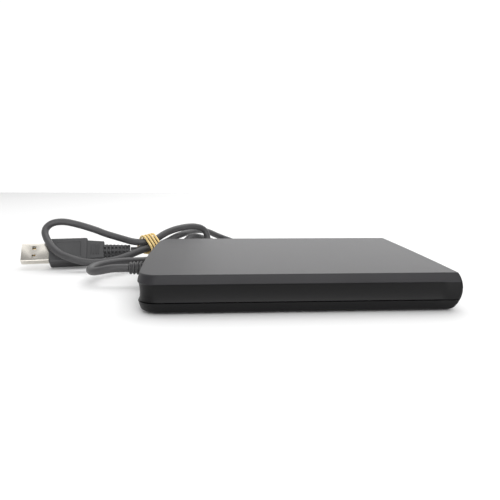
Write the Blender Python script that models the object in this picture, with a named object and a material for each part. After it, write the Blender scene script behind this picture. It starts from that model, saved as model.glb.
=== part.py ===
"""External floppy disk drive with its captive cord and plug.

The drive lies flat on its rubber feet with the disk slot at +X and the cord leaving the rear wall at
-X. The origin is on the table under the middle of the case, and +Z is up. All lengths are in metres.
"""

import math

import bmesh
import bpy
from mathutils import Matrix, Vector

# Whole case
CASE_LENGTH = 0.1435
CASE_WIDTH = 0.104
CASE_HEIGHT = 0.0170
FOOT_PROUD = 0.0005
CASE_WALL = 0.0015
FIT_GAP = 0.0003
OVERRUN = 0.002
SEAM_HEIGHT = 0.0049
REAR_BOW = 0.0018
FRONT_BOW = 0.0006
FRONT_WALL_RADIUS = 0.013
SIDE_WALL_RADIUS = 0.026
WALL_CENTRE_HEIGHT = 0.0092
BOTTOM_FILLET = 0.0015
REAR_CORNER_RADIUS = 0.0085
FRONT_CORNER_RADIUS = 0.0020
FRONT_CREASE_RADIUS = 0.0009
TOP_EDGE_ROUND = 0.0002
GROOVE_LOW = 0.0047
GROOVE_HIGH = 0.0130
GROOVE_DEPTH = 0.0012
GROOVE_STEP = 0.0003
GROOVE_END_TO_FRONT = 0.0066
CORNER_STEPS = 7
END_STEPS = 8
INNER_CORNER_RADIUS = 0.0070

# Front opening, bezel, door, button and lamp
FRONT_OPENING_WIDTH = 0.0956
FRONT_OPENING_LOW = 0.0029
FRONT_OPENING_HIGH = 0.0153
BEZEL_RECESS = 0.0004
BEZEL_DEPTH = 0.0062
BEZEL_WALL = 0.0036
BEZEL_RIM = 0.0019
BEZEL_LIP = 0.0008
SLOT_WIDTH = 0.0912
SLOT_LOW = 0.0090
SLOT_HIGH = 0.0134
NOTCH_WIDTH = 0.019
NOTCH_DEPTH = 0.0013
NOTCH_HEIGHT = 0.0066
DOOR_THICKNESS = 0.0008
DOOR_OVERLAP = 0.0004
DOOR_SET_BACK = 0.0006
DOOR_PIN_RADIUS = 0.0005
DOOR_PIN_LENGTH = 0.0010
DOOR_SPRING_WIRE = 0.00016
DOOR_SPRING_TURNS = 4
DOOR_NOTCH_WIDTH = 0.0036
DOOR_NOTCH_HEIGHT = 0.0021
BUTTON_WIDTH = 0.0084
BUTTON_HEIGHT = 0.0030
BUTTON_OFFSET = 0.0320
BUTTON_MIDDLE = 0.0062
BUTTON_PROUD = 0.0009
BUTTON_ROUND = 0.0005
LAMP_OFFSET = 0.0360
LAMP_MIDDLE = 0.0063
LAMP_RADIUS = 0.0012
LAMP_PROUD = 0.0002
LAMP_FLANGE = 0.0004

# Underside
FOOT_RADIUS = 0.0040
FOOT_THICKNESS = 0.0008
FOOT_INSET_X = 0.0120
FOOT_INSET_Y = 0.0100
SCREW_INSET_X = 0.0250
SCREW_INSET_Y = 0.0160
SCREW_HEAD_RADIUS = 0.0025
SCREW_HEAD_THICKNESS = 0.0010
SCREW_HEAD_SUNK = 0.0003
SCREW_SHANK_RADIUS = 0.0011
SCREW_CROSS_WIDTH = 0.0006
SCREW_CROSS_DEPTH = 0.0005
BOSS_RADIUS = 0.0040
LABEL_LENGTH = 0.058
LABEL_WIDTH = 0.044
LABEL_DEPTH = 0.0003

# Chassis, shield, cage and slide
CHASSIS_REAR = -0.062
CHASSIS_FRONT = 0.060
CHASSIS_HALF_WIDTH = 0.0479
SHEET = 0.0008
CHASSIS_LOW = 0.0032
CHASSIS_TOP = 0.0145
SHIELD_REAR = -0.028
SHIELD_SHEET = 0.0005
SHIELD_RIB = 0.0003
CAGE_REAR = -0.026
CAGE_FRONT = 0.058
CAGE_INNER_HALF = 0.0455
CAGE_SHEET = 0.0005
CAGE_ROOF = 0.0133
CAGE_ROOF_SHEET = 0.0004
CAGE_LIP_TOP = 0.0091
CAGE_LIP_WIDTH = 0.0030
CAGE_NOTCH_WIDTH = 0.0130
CAGE_NOTCH_FRONT = 0.003
CAGE_LIFT = 0.0020
PIN_RADIUS = 0.0006
PIN_REAR = -0.014
PIN_FRONT = 0.044
PIN_HEIGHT = 0.0110
PIN_REACH = 0.0482
SLIDE_TRAVEL = 0.0045
SLIDE_REAR = -0.0275
SLIDE_FRONT = 0.055
SLIDE_SHEET = 0.0004
SLIDE_PLATE_LOW = 0.0139
SLIDE_FLANGE_LOW = 0.0050
SLIDE_NOTCH_WIDTH = 0.017
SLIDE_WINDOW_LENGTH = 0.030
SLIDE_WINDOW_WIDTH = 0.050
SLIDE_TAB_THICKNESS = 0.0005
SLIDE_TAB_HIGH = 0.0076
SLIDE_TAB_INNER = 0.0285
LUG_THICKNESS = 0.0008
LUG_INNER = 0.0436
LUG_TOP = 0.0062
SPRING_REAR_LUG = 0.0086
SPRING_FRONT_LUG = 0.0308
SPRING_AXIS_Y = 0.0446
SPRING_AXIS_Z = 0.0053
SPRING_RADIUS = 0.00072
SPRING_WIRE = 0.00018
SPRING_TURNS = 9

# Latch
LATCH_X = -0.031
LATCH_Y = -0.036
LATCH_POST_RADIUS = 0.0012
LATCH_POST_TOP = 0.0152
LATCH_POST_FOOT_RADIUS = 0.0022
LATCH_LEVER_LOW = 0.0138
LATCH_LEVER_SHEET = 0.0006
LATCH_ARM = 0.0165
LATCH_ARM_WIDTH = 0.0026
LATCH_HUB_RADIUS = 0.0025
LATCH_FINGER_LOW = 0.0095
LATCH_FINGER = 0.0012
LATCH_SPRING_RADIUS = 0.0018
LATCH_SPRING_WIRE = 0.0002
LATCH_SPRING_TURNS = 4
LATCH_SPRING_LEG = 0.0055
LATCH_SPRING_DROP = 0.0024

# Spindle motor
SPINDLE_X = 0.0205
BOARD_LOW = 0.0043
BOARD_SHEET = 0.0008
MOTOR_BOARD_REAR = 0.0030
MOTOR_BOARD_FRONT = 0.0450
MOTOR_BOARD_WIDTH = 0.046
ROTOR_RADIUS = 0.0190
ROTOR_LOW = 0.0054
ROTOR_TOP = 0.0070
ROTOR_SHEET = 0.0005
ROTOR_HOLE_RADIUS = 0.0015
ROTOR_HOLE_CIRCLE = 0.0140
ROTOR_HOLES = 6
MAGNET_THICKNESS = 0.0014
STATOR_OUTER = 0.0160
STATOR_INNER = 0.0040
STATOR_POLES = 9
STATOR_SLOT = 0.0016
STATOR_CORE = 0.0075
SHAFT_RADIUS = 0.0010
BEARING_RADIUS = 0.0030
HUB_RADIUS = 0.0095
HUB_THICKNESS = 0.0004
HUB_BOSS_RADIUS = 0.0020
HUB_BOSS_HEIGHT = 0.0010
DRIVE_PIN_RADIUS = 0.0008
DRIVE_PIN_CIRCLE = 0.0058
DRIVE_PIN_HEIGHT = 0.0009

# Head carriage and its drive
HEAD_X = -0.019
CARRIAGE_REAR = -0.0455
CARRIAGE_NOSE = -0.0165
CARRIAGE_LEFT = -0.0105
CARRIAGE_RIGHT = 0.0080
CARRIAGE_LOW = 0.0049
CARRIAGE_TOP = 0.0071
CARRIAGE_NOSE_HALF_WIDTH = 0.0045
CARRIAGE_SHOULDER = -0.0300
PILLAR_LENGTH = 0.0030
PILLAR_HALF_WIDTH = 0.0040
PILLAR_TOP = 0.0129
ARM_PIVOT_X = -0.0430
ARM_PIVOT_Z = 0.0136
ARM_LOW = 0.0138
ARM_HEIGHT = 0.0006
ARM_HALF_WIDTH = 0.0034
ARM_TIP_HALF_WIDTH = 0.0020
ARM_HEEL_LOW = 0.0134
ARM_HEEL_BEHIND = 0.0020
ARM_HEEL_AHEAD = 0.0018
HEAD_HALF_LENGTH = 0.0014
HEAD_HALF_WIDTH = 0.0018
LOWER_HEAD_TOP = 0.0088
UPPER_HEAD_LOW = 0.01295
UPPER_HEAD_TOP = 0.0135
ROD_Y = -0.0080
ROD_Z = 0.0057
ROD_RADIUS = 0.00075
ROD_REAR = -0.0485
ROD_FRONT = 0.0005
ROD_LUG_LENGTH = 0.0014
ROD_CLEARANCE = 0.0003
SCREW_Y = 0.0120
SCREW_Z = 0.0093
SCREW_RADIUS = 0.0015
SCREW_PITCH = 0.0030
SCREW_THREAD_DEPTH = 0.00035
SCREW_FRONT = -0.0284
SCREW_SIDES = 10
SCREW_RINGS_A_TURN = 6
JOURNAL_RADIUS = 0.0008
STEPPER_RADIUS = 0.0050
STEPPER_REAR = -0.0605
STEPPER_FRONT = -0.0475
STEPPER_BAND = 0.0008
STEPPER_GROOVE = 0.0004
BEARING_BLOCK_LENGTH = 0.0010
BEARING_BLOCK_HALF_WIDTH = 0.0030
BEARING_BLOCK_TOP = 0.0115
NEEDLE_X = -0.0440
NEEDLE_RADIUS = 0.0004

# Boards and small parts
BOARD_REAR = -0.0610
BOARD_FRONT = -0.0340
BOARD_LEFT = -0.0460
BOARD_RIGHT = -0.0112
CHIP_SIZE = 0.0120
CHIP_HEIGHT = 0.0014
CHIP_X = -0.0500
CHIP_Y = -0.0360
BRIDGE_SIZE = 0.0070
BRIDGE_X = -0.0420
BRIDGE_Y = -0.0200
CRYSTAL_LENGTH = 0.0080
CRYSTAL_WIDTH = 0.0032
CRYSTAL_HEIGHT = 0.0024
CRYSTAL_X = -0.0540
CRYSTAL_Y = -0.0240
SOCKET_LENGTH = 0.0044
SOCKET_WIDTH = 0.0080
SOCKET_HEIGHT = 0.0040
SOCKET_X = -0.0570
SOCKET_Y = -0.0156
SENSOR_BOARD_REAR = 0.0470
SENSOR_BOARD_FRONT = 0.0570
SENSOR_BOARD_HALF = 0.0430
SWITCH_LENGTH = 0.0050
SWITCH_WIDTH = 0.0042
SWITCH_HEIGHT = 0.0012
SWITCH_FLOOR = 0.0003
SWITCH_X = 0.0515
WRITE_PLUNGER_Y = -0.0395
DENSITY_PLUNGER_Y = 0.0395
DISK_PLUNGER_Y = -0.0300
PLUNGER_RADIUS = 0.0007
PLUNGER_HEIGHT = 0.0014
LED_LENGTH = 0.0030
LED_WIDTH = 0.0022
LED_HEIGHT = 0.0022

# Cord relief
CORD_DIAMETER = 0.0042
CORD_HEIGHT = 0.0100
RELIEF_END = -0.0806
RELIEF_COLLAR_RADIUS = 0.0036
RELIEF_RIB_RADIUS = 0.0035
RELIEF_GROOVE_RADIUS = 0.0027
RELIEF_NECK_RADIUS = 0.0026
RELIEF_FLANGE_RADIUS = 0.0042
RELIEF_FLANGE_THICKNESS = 0.0012
RELIEF_RIBS = 4
RELIEF_RIB_WIDTH_SHARE = 0.62
RELIEF_TIP_RADIUS = 0.0026

LEAD_DIAMETER = 0.0026
LEAD_STEP = 0.0014
LEAD_ROUTE = ((-0.0614, -0.0010, 0.0098), (-0.0591, -0.0030, 0.0091), (-0.0576, -0.0056, 0.0082))

# Plug on its side, pointing to -X and rolled about its own length
PLUG_TIP = (-0.1526, 0.0502, 0.0085)
PLUG_HEADING = (0.0636, 0.0085, 0.0005)
PLUG_ROLL = math.radians(50)
SHELL_LENGTH = 0.0158
SHELL_WIDTH = 0.0120
SHELL_HEIGHT = 0.0045
SHELL_WALL = 0.00035
SHELL_CORNER = 0.0005
SHELL_WINDOW = 0.0022
SHELL_WINDOW_FROM_TIP = 0.0072
SHELL_WINDOW_OFFSET = 0.0029
TONGUE_WIDTH = 0.0108
TONGUE_HEIGHT = 0.0018
TONGUE_SET_BACK = 0.0012
BODY_LENGTH = 0.0224
BODY_WIDTH = 0.0164
BODY_HEIGHT = 0.0084
BODY_CORNER = 0.0012
PANEL_LENGTH = 0.0150
PANEL_WIDTH = 0.0110
PANEL_DEPTH = 0.0003
GRIP_LENGTH = 0.0098
GRIP_WIDTH = 0.0132
GRIP_HEIGHT = 0.0072
GRIP_GROOVES = 4
GRIP_GROOVE_WIDTH = 0.0008
GRIP_GROOVE_DEPTH = 0.0004
GRIP_PITCH = 0.0018
BOOT_LENGTH = 0.0156
BOOT_RADIUS = 0.0043
BOOT_TIP_RADIUS = 0.0034
BOOT_GROOVE_RADIUS = 0.0028
BOOT_RIBS = 7
BOOT_RIB_WIDTH_SHARE = 0.55

# Cord: the places it passes, in metres, from the relief to the plug
CORD_ROUTE = (
    (-0.0905, 0.0001, 0.0097), (-0.0957, 0.0008, 0.0086), (-0.1000, 0.0034, 0.0077),
    (-0.1024, 0.0078, 0.0074), (-0.1031, 0.0132, 0.0073), (-0.1022, 0.0190, 0.0073),
    (-0.0990, 0.0246, 0.0073), (-0.0942, 0.0296, 0.0072), (-0.0888, 0.0344, 0.0069),
    (-0.0836, 0.0398, 0.0060), (-0.0786, 0.0460, 0.0050), (-0.0734, 0.0524, 0.0044),
    (-0.0676, 0.0588, 0.0046), (-0.0620, 0.0656, 0.0066), (-0.0576, 0.0728, 0.0104),
    (-0.0535, 0.0800, 0.0138), (-0.0494, 0.0870, 0.0135), (-0.0448, 0.0934, 0.0113),
    (-0.0396, 0.0986, 0.0086), (-0.0334, 0.1024, 0.0062), (-0.0268, 0.1056, 0.0046),
    (-0.0216, 0.1104, 0.0038), (-0.0204, 0.1170, 0.0038), (-0.0242, 0.1224, 0.0048),
    (-0.0306, 0.1236, 0.0070), (-0.0362, 0.1200, 0.0098), (-0.0410, 0.1156, 0.0126),
    (-0.0456, 0.1094, 0.0146), (-0.0500, 0.1018, 0.0157), (-0.0542, 0.0926, 0.0163),
    (-0.0578, 0.0838, 0.0160), (-0.0622, 0.0752, 0.0153), (-0.0668, 0.0674, 0.0136),
    (-0.0712, 0.0607, 0.0124), (-0.0752, 0.0571, 0.0117), (-0.0796, 0.0540, 0.0108),
    (-0.0838, 0.0508, 0.0096), (-0.0884, 0.0474, 0.0081), (-0.0936, 0.0438, 0.0067),
    (-0.0988, 0.0411, 0.0058), (-0.1042, 0.0393, 0.0054), (-0.1097, 0.0384, 0.0056),
    (-0.1153, 0.0384, 0.0064), (-0.1212, 0.0396, 0.0080), (-0.1271, 0.0420, 0.0098),
    (-0.1324, 0.0456, 0.0127), (-0.1363, 0.0496, 0.0160), (-0.1388, 0.0530, 0.0188),
    (-0.1400, 0.0556, 0.0213), (-0.1397, 0.0580, 0.0236), (-0.1374, 0.0600, 0.0257),
    (-0.1337, 0.0611, 0.0267), (-0.1290, 0.0617, 0.0266), (-0.1243, 0.0620, 0.0256),
    (-0.1195, 0.0620, 0.0243), (-0.1147, 0.0619, 0.0228), (-0.1098, 0.0617, 0.0211),
    (-0.1050, 0.0611, 0.0193), (-0.0951, 0.0600, 0.0164), (-0.0876, 0.0574, 0.0148),
    (-0.0813, 0.0571, 0.0144), (-0.0776, 0.0602, 0.0149), (-0.0736, 0.0636, 0.0157),
    (-0.0690, 0.0680, 0.0182), (-0.0640, 0.0720, 0.0200), (-0.0590, 0.0764, 0.0209),
    (-0.0544, 0.0812, 0.0211), (-0.0502, 0.0852, 0.0206), (-0.0460, 0.0880, 0.0192),
    (-0.0432, 0.0886, 0.0166), (-0.0420, 0.0874, 0.0132), (-0.0418, 0.0844, 0.0096),
    (-0.0430, 0.0802, 0.0062), (-0.0464, 0.0762, 0.0037), (-0.0514, 0.0738, 0.0026),
    (-0.0572, 0.0728, 0.0028), (-0.0628, 0.0722, 0.0044), (-0.0680, 0.0708, 0.0074),
    (-0.0724, 0.0688, 0.0101), (-0.0762, 0.0662, 0.0112), (-0.0800, 0.0633, 0.0107),
)
CORD_STEP = 0.0062
CORD_LEAST_GAP = 0.0004

# Band round the three strands, at the middle of its place on the cord
BAND_PLACE = (-0.0776, 0.0602, 0.0130)
BAND_HEADING = (0.785, 0.61, 0.12)
BAND_STRANDS = ((-0.0038, -0.0015), (0.0002, 0.0020), (0.0038, -0.0021))
BAND_RADIUS = 0.0007
BAND_PITCH = 0.0022
BAND_TURNS = 4
BAND_CLEARANCE = 0.0009
LOOP_POINTS = 24


# Tools for the pieces

def clear_scene():
    for thing in list(bpy.data.objects):
        bpy.data.objects.remove(thing, do_unlink=True)


def finish(name, colour, roughness, metallic=0.0):
    """one Principled material a finish, shared by the pieces that have it"""
    surface = bpy.data.materials.get(name)
    if surface is None:
        surface = bpy.data.materials.new(name)
        surface.use_nodes = True
        shader = surface.node_tree.nodes["Principled BSDF"]
        shader.inputs["Base Color"].default_value = (*colour, 1.0)
        shader.inputs["Roughness"].default_value = roughness
        shader.inputs["Metallic"].default_value = metallic
    return surface


def case_plastic():
    return finish("case_plastic", (0.060, 0.060, 0.061), 0.55)


def trim_plastic():
    return finish("trim_plastic", (0.030, 0.030, 0.031), 0.50)


def sheet_steel():
    return finish("sheet_steel", (0.55, 0.56, 0.57), 0.35, 1.0)


def spring_steel():
    return finish("spring_steel", (0.45, 0.45, 0.46), 0.30, 1.0)


def white_plastic():
    return finish("white_plastic", (0.75, 0.75, 0.72), 0.50)


def black_plastic():
    return finish("black_plastic", (0.02, 0.02, 0.02), 0.45)


def board_green():
    return finish("board_green", (0.02, 0.10, 0.05), 0.40)


def brass():
    return finish("brass", (0.70, 0.52, 0.25), 0.35, 1.0)


def magnet_grey():
    return finish("magnet_grey", (0.05, 0.05, 0.055), 0.60)


def cord_rubber():
    return finish("cord_rubber", (0.045, 0.045, 0.046), 0.50)


def foot_rubber():
    return finish("foot_rubber", (0.02, 0.02, 0.02), 0.80)


def band_rubber():
    return finish("band_rubber", (0.74, 0.52, 0.24), 0.65)


def lamp_plastic():
    return finish("lamp_plastic", (0.25, 0.60, 0.22), 0.25)


def plug_steel():
    return finish("plug_steel", (0.72, 0.70, 0.66), 0.22, 1.0)


def place(name, mesh, surface):
    piece = bpy.data.objects.new(name, mesh)
    bpy.context.collection.objects.link(piece)
    mesh.materials.clear()
    mesh.materials.append(surface)
    return piece


def from_bmesh(name, shape, surface):
    bmesh.ops.recalc_face_normals(shape, faces=shape.faces)
    mesh = bpy.data.meshes.new(name)
    shape.to_mesh(mesh)
    shape.free()
    return place(name, mesh, surface)


def smooth(piece, degrees=35.0):
    piece.data.shade_smooth()
    piece.data.set_sharp_from_angle(angle=math.radians(degrees))
    return piece


def box(name, low, high, surface):
    shape = bmesh.new()
    bmesh.ops.create_cube(shape, size=1.0)
    middle = (Vector(low) + Vector(high)) / 2
    extent = Vector(high) - Vector(low)
    bmesh.ops.transform(shape, matrix=Matrix.Translation(middle) @ Matrix.Diagonal((*extent, 1.0)),
                        verts=shape.verts)
    return from_bmesh(name, shape, surface)


def turned(name, start, end_direction, profile, surface, steps=24):
    """a solid turned about the line from start along end_direction; the profile's points are
    (distance along the line, radius), and a radius of zero closes an end"""
    along = Vector(end_direction).normalized()
    turn = Vector((0.0, 0.0, 1.0)).rotation_difference(along).to_matrix().to_4x4()
    shape = bmesh.new()
    rings = []
    for distance, radius in profile:
        ring = []
        for index in range(steps):
            angle = math.tau * index / steps
            ring.append(shape.verts.new((radius * math.cos(angle), radius * math.sin(angle), distance)))
        rings.append(ring)
    for near, far in zip(rings, rings[1:]):
        for index in range(steps):
            other = (index + 1) % steps
            shape.faces.new((near[index], near[other], far[other], far[index]))
    shape.faces.new(list(reversed(rings[0])))
    shape.faces.new(rings[-1])
    bmesh.ops.transform(shape, matrix=Matrix.Translation(start) @ turn, verts=shape.verts)
    return smooth(from_bmesh(name, shape, surface))


def rod(name, start, along, length, radius, surface, steps=16):
    return turned(name, start, along, ((0.0, radius), (length, radius)), surface, steps)


def prism(name, outline, low, high, surface):
    """an outline of (x, y) raised from one height to the other"""
    shape = bmesh.new()
    base = [shape.verts.new((x, y, low)) for x, y in outline]
    face = shape.faces.new(base)
    raised = bmesh.ops.extrude_face_region(shape, geom=[face])
    tops = [item for item in raised["geom"] if isinstance(item, bmesh.types.BMVert)]
    bmesh.ops.translate(shape, vec=(0.0, 0.0, high - low), verts=tops)
    return from_bmesh(name, shape, surface)


def loft(name, rings, surface):
    """closed skin over rings of the same number of points, with a flat cap on the first and last"""
    shape = bmesh.new()
    loops = [[shape.verts.new(point) for point in ring] for ring in rings]
    count = len(loops[0])
    for near, far in zip(loops, loops[1:]):
        for index in range(count):
            other = (index + 1) % count
            shape.faces.new((near[index], near[other], far[other], far[index]))
    shape.faces.new(loops[0])
    shape.faces.new(loops[-1])
    return from_bmesh(name, shape, surface)


def combine(piece, tools, operation):
    """each tool is taken off the piece, or joined to it, and then removed"""
    for tool in tools:
        step = piece.modifiers.new(tool.name, "BOOLEAN")
        step.operation = operation
        step.solver = "EXACT"
        step.object = tool
        view = bpy.context.evaluated_depsgraph_get()
        result = bpy.data.meshes.new_from_object(piece.evaluated_get(view))
        piece.modifiers.remove(step)
        piece.data = result
        bpy.data.objects.remove(tool, do_unlink=True)
    return piece


def cut(piece, *tools):
    return combine(piece, tools, "DIFFERENCE")


def join(piece, *tools):
    return combine(piece, tools, "UNION")


def tube(name, points, radius, surface, resolution=2):
    curve = bpy.data.curves.new(name, "CURVE")
    curve.dimensions = "3D"
    curve.bevel_depth = radius
    curve.bevel_resolution = resolution
    curve.use_fill_caps = True
    spline = curve.splines.new("POLY")
    spline.points.add(len(points) - 1)
    for item, point in zip(spline.points, points):
        item.co = (*point, 1.0)
    curve.materials.append(surface)
    piece = bpy.data.objects.new(name, curve)
    bpy.context.collection.objects.link(piece)
    return piece


def hinge_origin(piece, origin):
    """the piece's own origin goes on its joint's axis; its shape stays where it is"""
    piece.data.transform(Matrix.Translation(-Vector(origin)))
    piece.location = origin
    return piece


def least_gap(points, diameter, apart):
    """least clear distance between stretches of a tube that are more than apart along it"""
    fine = []
    for near, far in zip(points, points[1:]):
        for share in (0.0, 0.25, 0.5, 0.75):
            fine.append(Vector(near).lerp(Vector(far), share))
    run = [0.0]
    for near, far in zip(fine, fine[1:]):
        run.append(run[-1] + (far - near).length)
    least = math.inf
    for index, point in enumerate(fine):
        for other in range(index + 1, len(fine)):
            if run[other] - run[index] > apart:
                least = min(least, (fine[other] - point).length - diameter)
    return least


# The case

def wall_inset(height, radius):
    """how far a bulged wall stands in from its fullest height"""
    rise = height - WALL_CENTRE_HEIGHT
    return radius - math.sqrt(radius ** 2 - rise ** 2)


def fillet_inset(height):
    """the round under edge and the fine round at the top"""
    if height < BOTTOM_FILLET:
        return BOTTOM_FILLET - math.sqrt(BOTTOM_FILLET ** 2 - (BOTTOM_FILLET - height) ** 2)
    return max(0.0, height - (CASE_HEIGHT - TOP_EDGE_ROUND))


def end_curve(reach, half_width, radius, bow):
    """half of one end of the plan, from its middle out to where its corner meets the side"""
    flat = half_width - radius
    lean = math.atan(2 * bow * flat / half_width ** 2)
    meet_y = flat + radius * math.sin(lean)
    meet_x = reach - bow * (meet_y / half_width) ** 2
    centre_x = meet_x - radius * math.cos(lean)
    points = []
    for index in range(END_STEPS):
        y = meet_y * index / END_STEPS
        points.append((reach - bow * (y / half_width) ** 2, y))
    for index in range(CORNER_STEPS + 1):
        angle = lean + (math.pi / 2 - lean) * index / CORNER_STEPS
        points.append((centre_x + radius * math.cos(angle), flat + radius * math.sin(angle)))
    return points


def plan_ring(height, rear, front, half_width, rear_radius, front_radius, groove=0.0):
    """one ring of the case's plan; the groove takes its depth off the rear and the sides only"""
    rear_half = end_curve(rear - groove, half_width - groove, rear_radius - groove, REAR_BOW)
    front_half = end_curve(front, half_width, front_radius, FRONT_BOW)
    groove_end = min(CASE_LENGTH / 2 - GROOVE_END_TO_FRONT, front_half[-1][0] - GROOVE_STEP)
    half = [(-x, -y) for x, y in rear_half]
    half.append((groove_end - GROOVE_STEP, groove - half_width))
    half.append((groove_end, -half_width))
    half.extend((x, -y) for x, y in reversed(front_half))
    other_half = [(x, -y) for x, y in reversed(half[1:-1])]
    return [(x, y, FOOT_PROUD + height) for x, y in half + other_half]


def outer_ring(height, groove=0.0):
    edge = fillet_inset(height)
    side = wall_inset(height, SIDE_WALL_RADIUS) + edge
    front = wall_inset(height, FRONT_WALL_RADIUS) + edge
    upper_share = min(1.0, (CASE_HEIGHT - height) / (CASE_HEIGHT - WALL_CENTRE_HEIGHT))
    corner = FRONT_CREASE_RADIUS + (FRONT_CORNER_RADIUS - FRONT_CREASE_RADIUS) * upper_share
    return plan_ring(height, CASE_LENGTH / 2 - side, CASE_LENGTH / 2 - front, CASE_WIDTH / 2 - side,
                     REAR_CORNER_RADIUS, corner, groove)


def inner_ring(height):
    side = wall_inset(CASE_HEIGHT, SIDE_WALL_RADIUS) + CASE_WALL
    front = wall_inset(CASE_HEIGHT, FRONT_WALL_RADIUS) + CASE_WALL
    return plan_ring(height, CASE_LENGTH / 2 - side, CASE_LENGTH / 2 - front, CASE_WIDTH / 2 - side,
                     INNER_CORNER_RADIUS, FRONT_CREASE_RADIUS)


def groove_depth(height):
    middle = (GROOVE_LOW + GROOVE_HIGH) / 2
    share = (height - middle) / (GROOVE_HIGH - middle)
    return GROOVE_STEP + (GROOVE_DEPTH - GROOVE_STEP) * (1 - share ** 2)


def grooved_rings(low, high, steps):
    rings = []
    for index in range(steps + 1):
        height = low + (high - low) * index / steps
        rings.append(outer_ring(height, groove_depth(height)))
    return rings


def front_face(height, y):
    """the front of the case, over its opening, at a height above the case's underside"""
    return CASE_LENGTH / 2 - wall_inset(height, FRONT_WALL_RADIUS) - FRONT_BOW * (y / (CASE_WIDTH / 2)) ** 2


def opening_cutter():
    half = FRONT_OPENING_WIDTH / 2
    return box("front_opening", (CHASSIS_FRONT, -half, FOOT_PROUD + FRONT_OPENING_LOW),
               (CASE_LENGTH / 2 + OVERRUN, half, FOOT_PROUD + FRONT_OPENING_HIGH), case_plastic())


def make_top_cover():
    low = SEAM_HEIGHT + FIT_GAP / 2
    ceiling = CASE_HEIGHT - CASE_WALL
    rings = [inner_ring(ceiling), inner_ring(low)]
    rings += grooved_rings(low, GROOVE_HIGH, 5)
    rings.append(outer_ring(GROOVE_HIGH))
    span = CASE_HEIGHT - TOP_EDGE_ROUND - GROOVE_HIGH
    for index in range(1, 4):
        rings.append(outer_ring(GROOVE_HIGH + span * index / 3))
    rings.append(outer_ring(CASE_HEIGHT))
    cover = loft("top_cover", rings, case_plastic())
    relief_hole = rod("relief_hole", (-CASE_LENGTH / 2 - OVERRUN, 0.0, CORD_HEIGHT), (1.0, 0.0, 0.0),
                      CASE_LENGTH / 4, RELIEF_NECK_RADIUS + FIT_GAP, case_plastic())
    cut(cover, opening_cutter(), relief_hole)
    return smooth(cover)


def foot_places():
    x = CASE_LENGTH / 2 - FOOT_INSET_X
    y = CASE_WIDTH / 2 - FOOT_INSET_Y
    return [(-x, -y), (x, -y), (x, y), (-x, y)]


def screw_places():
    x = CASE_LENGTH / 2 - SCREW_INSET_X
    y = CASE_WIDTH / 2 - SCREW_INSET_Y
    return [(-x, -y), (x, -y), (x, y), (-x, y)]


def make_bottom_cover():
    high = SEAM_HEIGHT - FIT_GAP / 2
    rings = []
    for share in (0.0, 0.12, 0.4):
        rings.append(outer_ring(BOTTOM_FILLET * share))
    rings.append(outer_ring(BOTTOM_FILLET))
    rings.append(outer_ring(GROOVE_LOW))
    rings.append(outer_ring(GROOVE_LOW, groove_depth(GROOVE_LOW)))
    rings.append(outer_ring(high, groove_depth(high)))
    rings += [inner_ring(high), inner_ring(CASE_WALL)]
    cover = loft("bottom_cover", rings, case_plastic())
    floor = FOOT_PROUD + CASE_WALL
    boss_top = CHASSIS_LOW - FIT_GAP
    for x, y in screw_places():
        boss = rod("boss", (x, y, floor - CASE_WALL / 2), (0.0, 0.0, 1.0), boss_top - floor + CASE_WALL / 2,
                   BOSS_RADIUS, case_plastic())
        join(cover, boss)
    cuts = [opening_cutter()]
    for x, y in screw_places():
        head_top = FOOT_PROUD + SCREW_HEAD_SUNK + SCREW_HEAD_THICKNESS + FIT_GAP
        cuts.append(rod("head_recess", (x, y, FOOT_PROUD - OVERRUN), (0.0, 0.0, 1.0),
                        head_top - FOOT_PROUD + OVERRUN, SCREW_HEAD_RADIUS + FIT_GAP, case_plastic()))
        cuts.append(rod("shank_hole", (x, y, FOOT_PROUD), (0.0, 0.0, 1.0), CASE_HEIGHT / 2,
                        SCREW_SHANK_RADIUS + FIT_GAP, case_plastic(), 12))
    for x, y in foot_places():
        cuts.append(rod("foot_recess", (x, y, FOOT_PROUD - OVERRUN), (0.0, 0.0, 1.0),
                        OVERRUN + FOOT_THICKNESS - FOOT_PROUD + FIT_GAP, FOOT_RADIUS + FIT_GAP,
                        case_plastic(), 20))
    cuts.append(box("label_recess", (-LABEL_LENGTH / 2, -LABEL_WIDTH / 2, FOOT_PROUD - OVERRUN),
                    (LABEL_LENGTH / 2, LABEL_WIDTH / 2, FOOT_PROUD + LABEL_DEPTH), case_plastic()))
    cut(cover, *cuts)
    return smooth(cover)


def make_feet():
    for index, (x, y) in enumerate(foot_places(), 1):
        turned(f"rubber_foot_{index}", (x, y, 0.0), (0.0, 0.0, 1.0),
               ((0.0, FOOT_RADIUS - FOOT_PROUD), (FOOT_PROUD, FOOT_RADIUS), (FOOT_THICKNESS, FOOT_RADIUS)),
               foot_rubber(), 20)


def make_case_screws():
    low = FOOT_PROUD + SCREW_HEAD_SUNK
    shank_top = CHASSIS_LOW + SHEET - SCREW_HEAD_SUNK
    for index, (x, y) in enumerate(screw_places(), 1):
        screw = turned(f"case_screw_{index}", (x, y, low), (0.0, 0.0, 1.0),
                       ((0.0, SCREW_HEAD_RADIUS - SCREW_CROSS_DEPTH), (SCREW_CROSS_DEPTH, SCREW_HEAD_RADIUS),
                        (SCREW_HEAD_THICKNESS, SCREW_HEAD_RADIUS), (SCREW_HEAD_THICKNESS, SCREW_SHANK_RADIUS),
                        (shank_top - low, SCREW_SHANK_RADIUS)), sheet_steel(), 16)
        arm = SCREW_HEAD_RADIUS - SCREW_CROSS_DEPTH - SCREW_CROSS_WIDTH
        half = SCREW_CROSS_WIDTH / 2
        top = low + SCREW_CROSS_DEPTH
        cross_x = box("cross_x", (x - arm, y - half, low - OVERRUN), (x + arm, y + half, top), sheet_steel())
        cross_y = box("cross_y", (x - half, y - arm, low - OVERRUN), (x + half, y + arm, top), sheet_steel())
        cut(screw, cross_x, cross_y)


# The front

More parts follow.
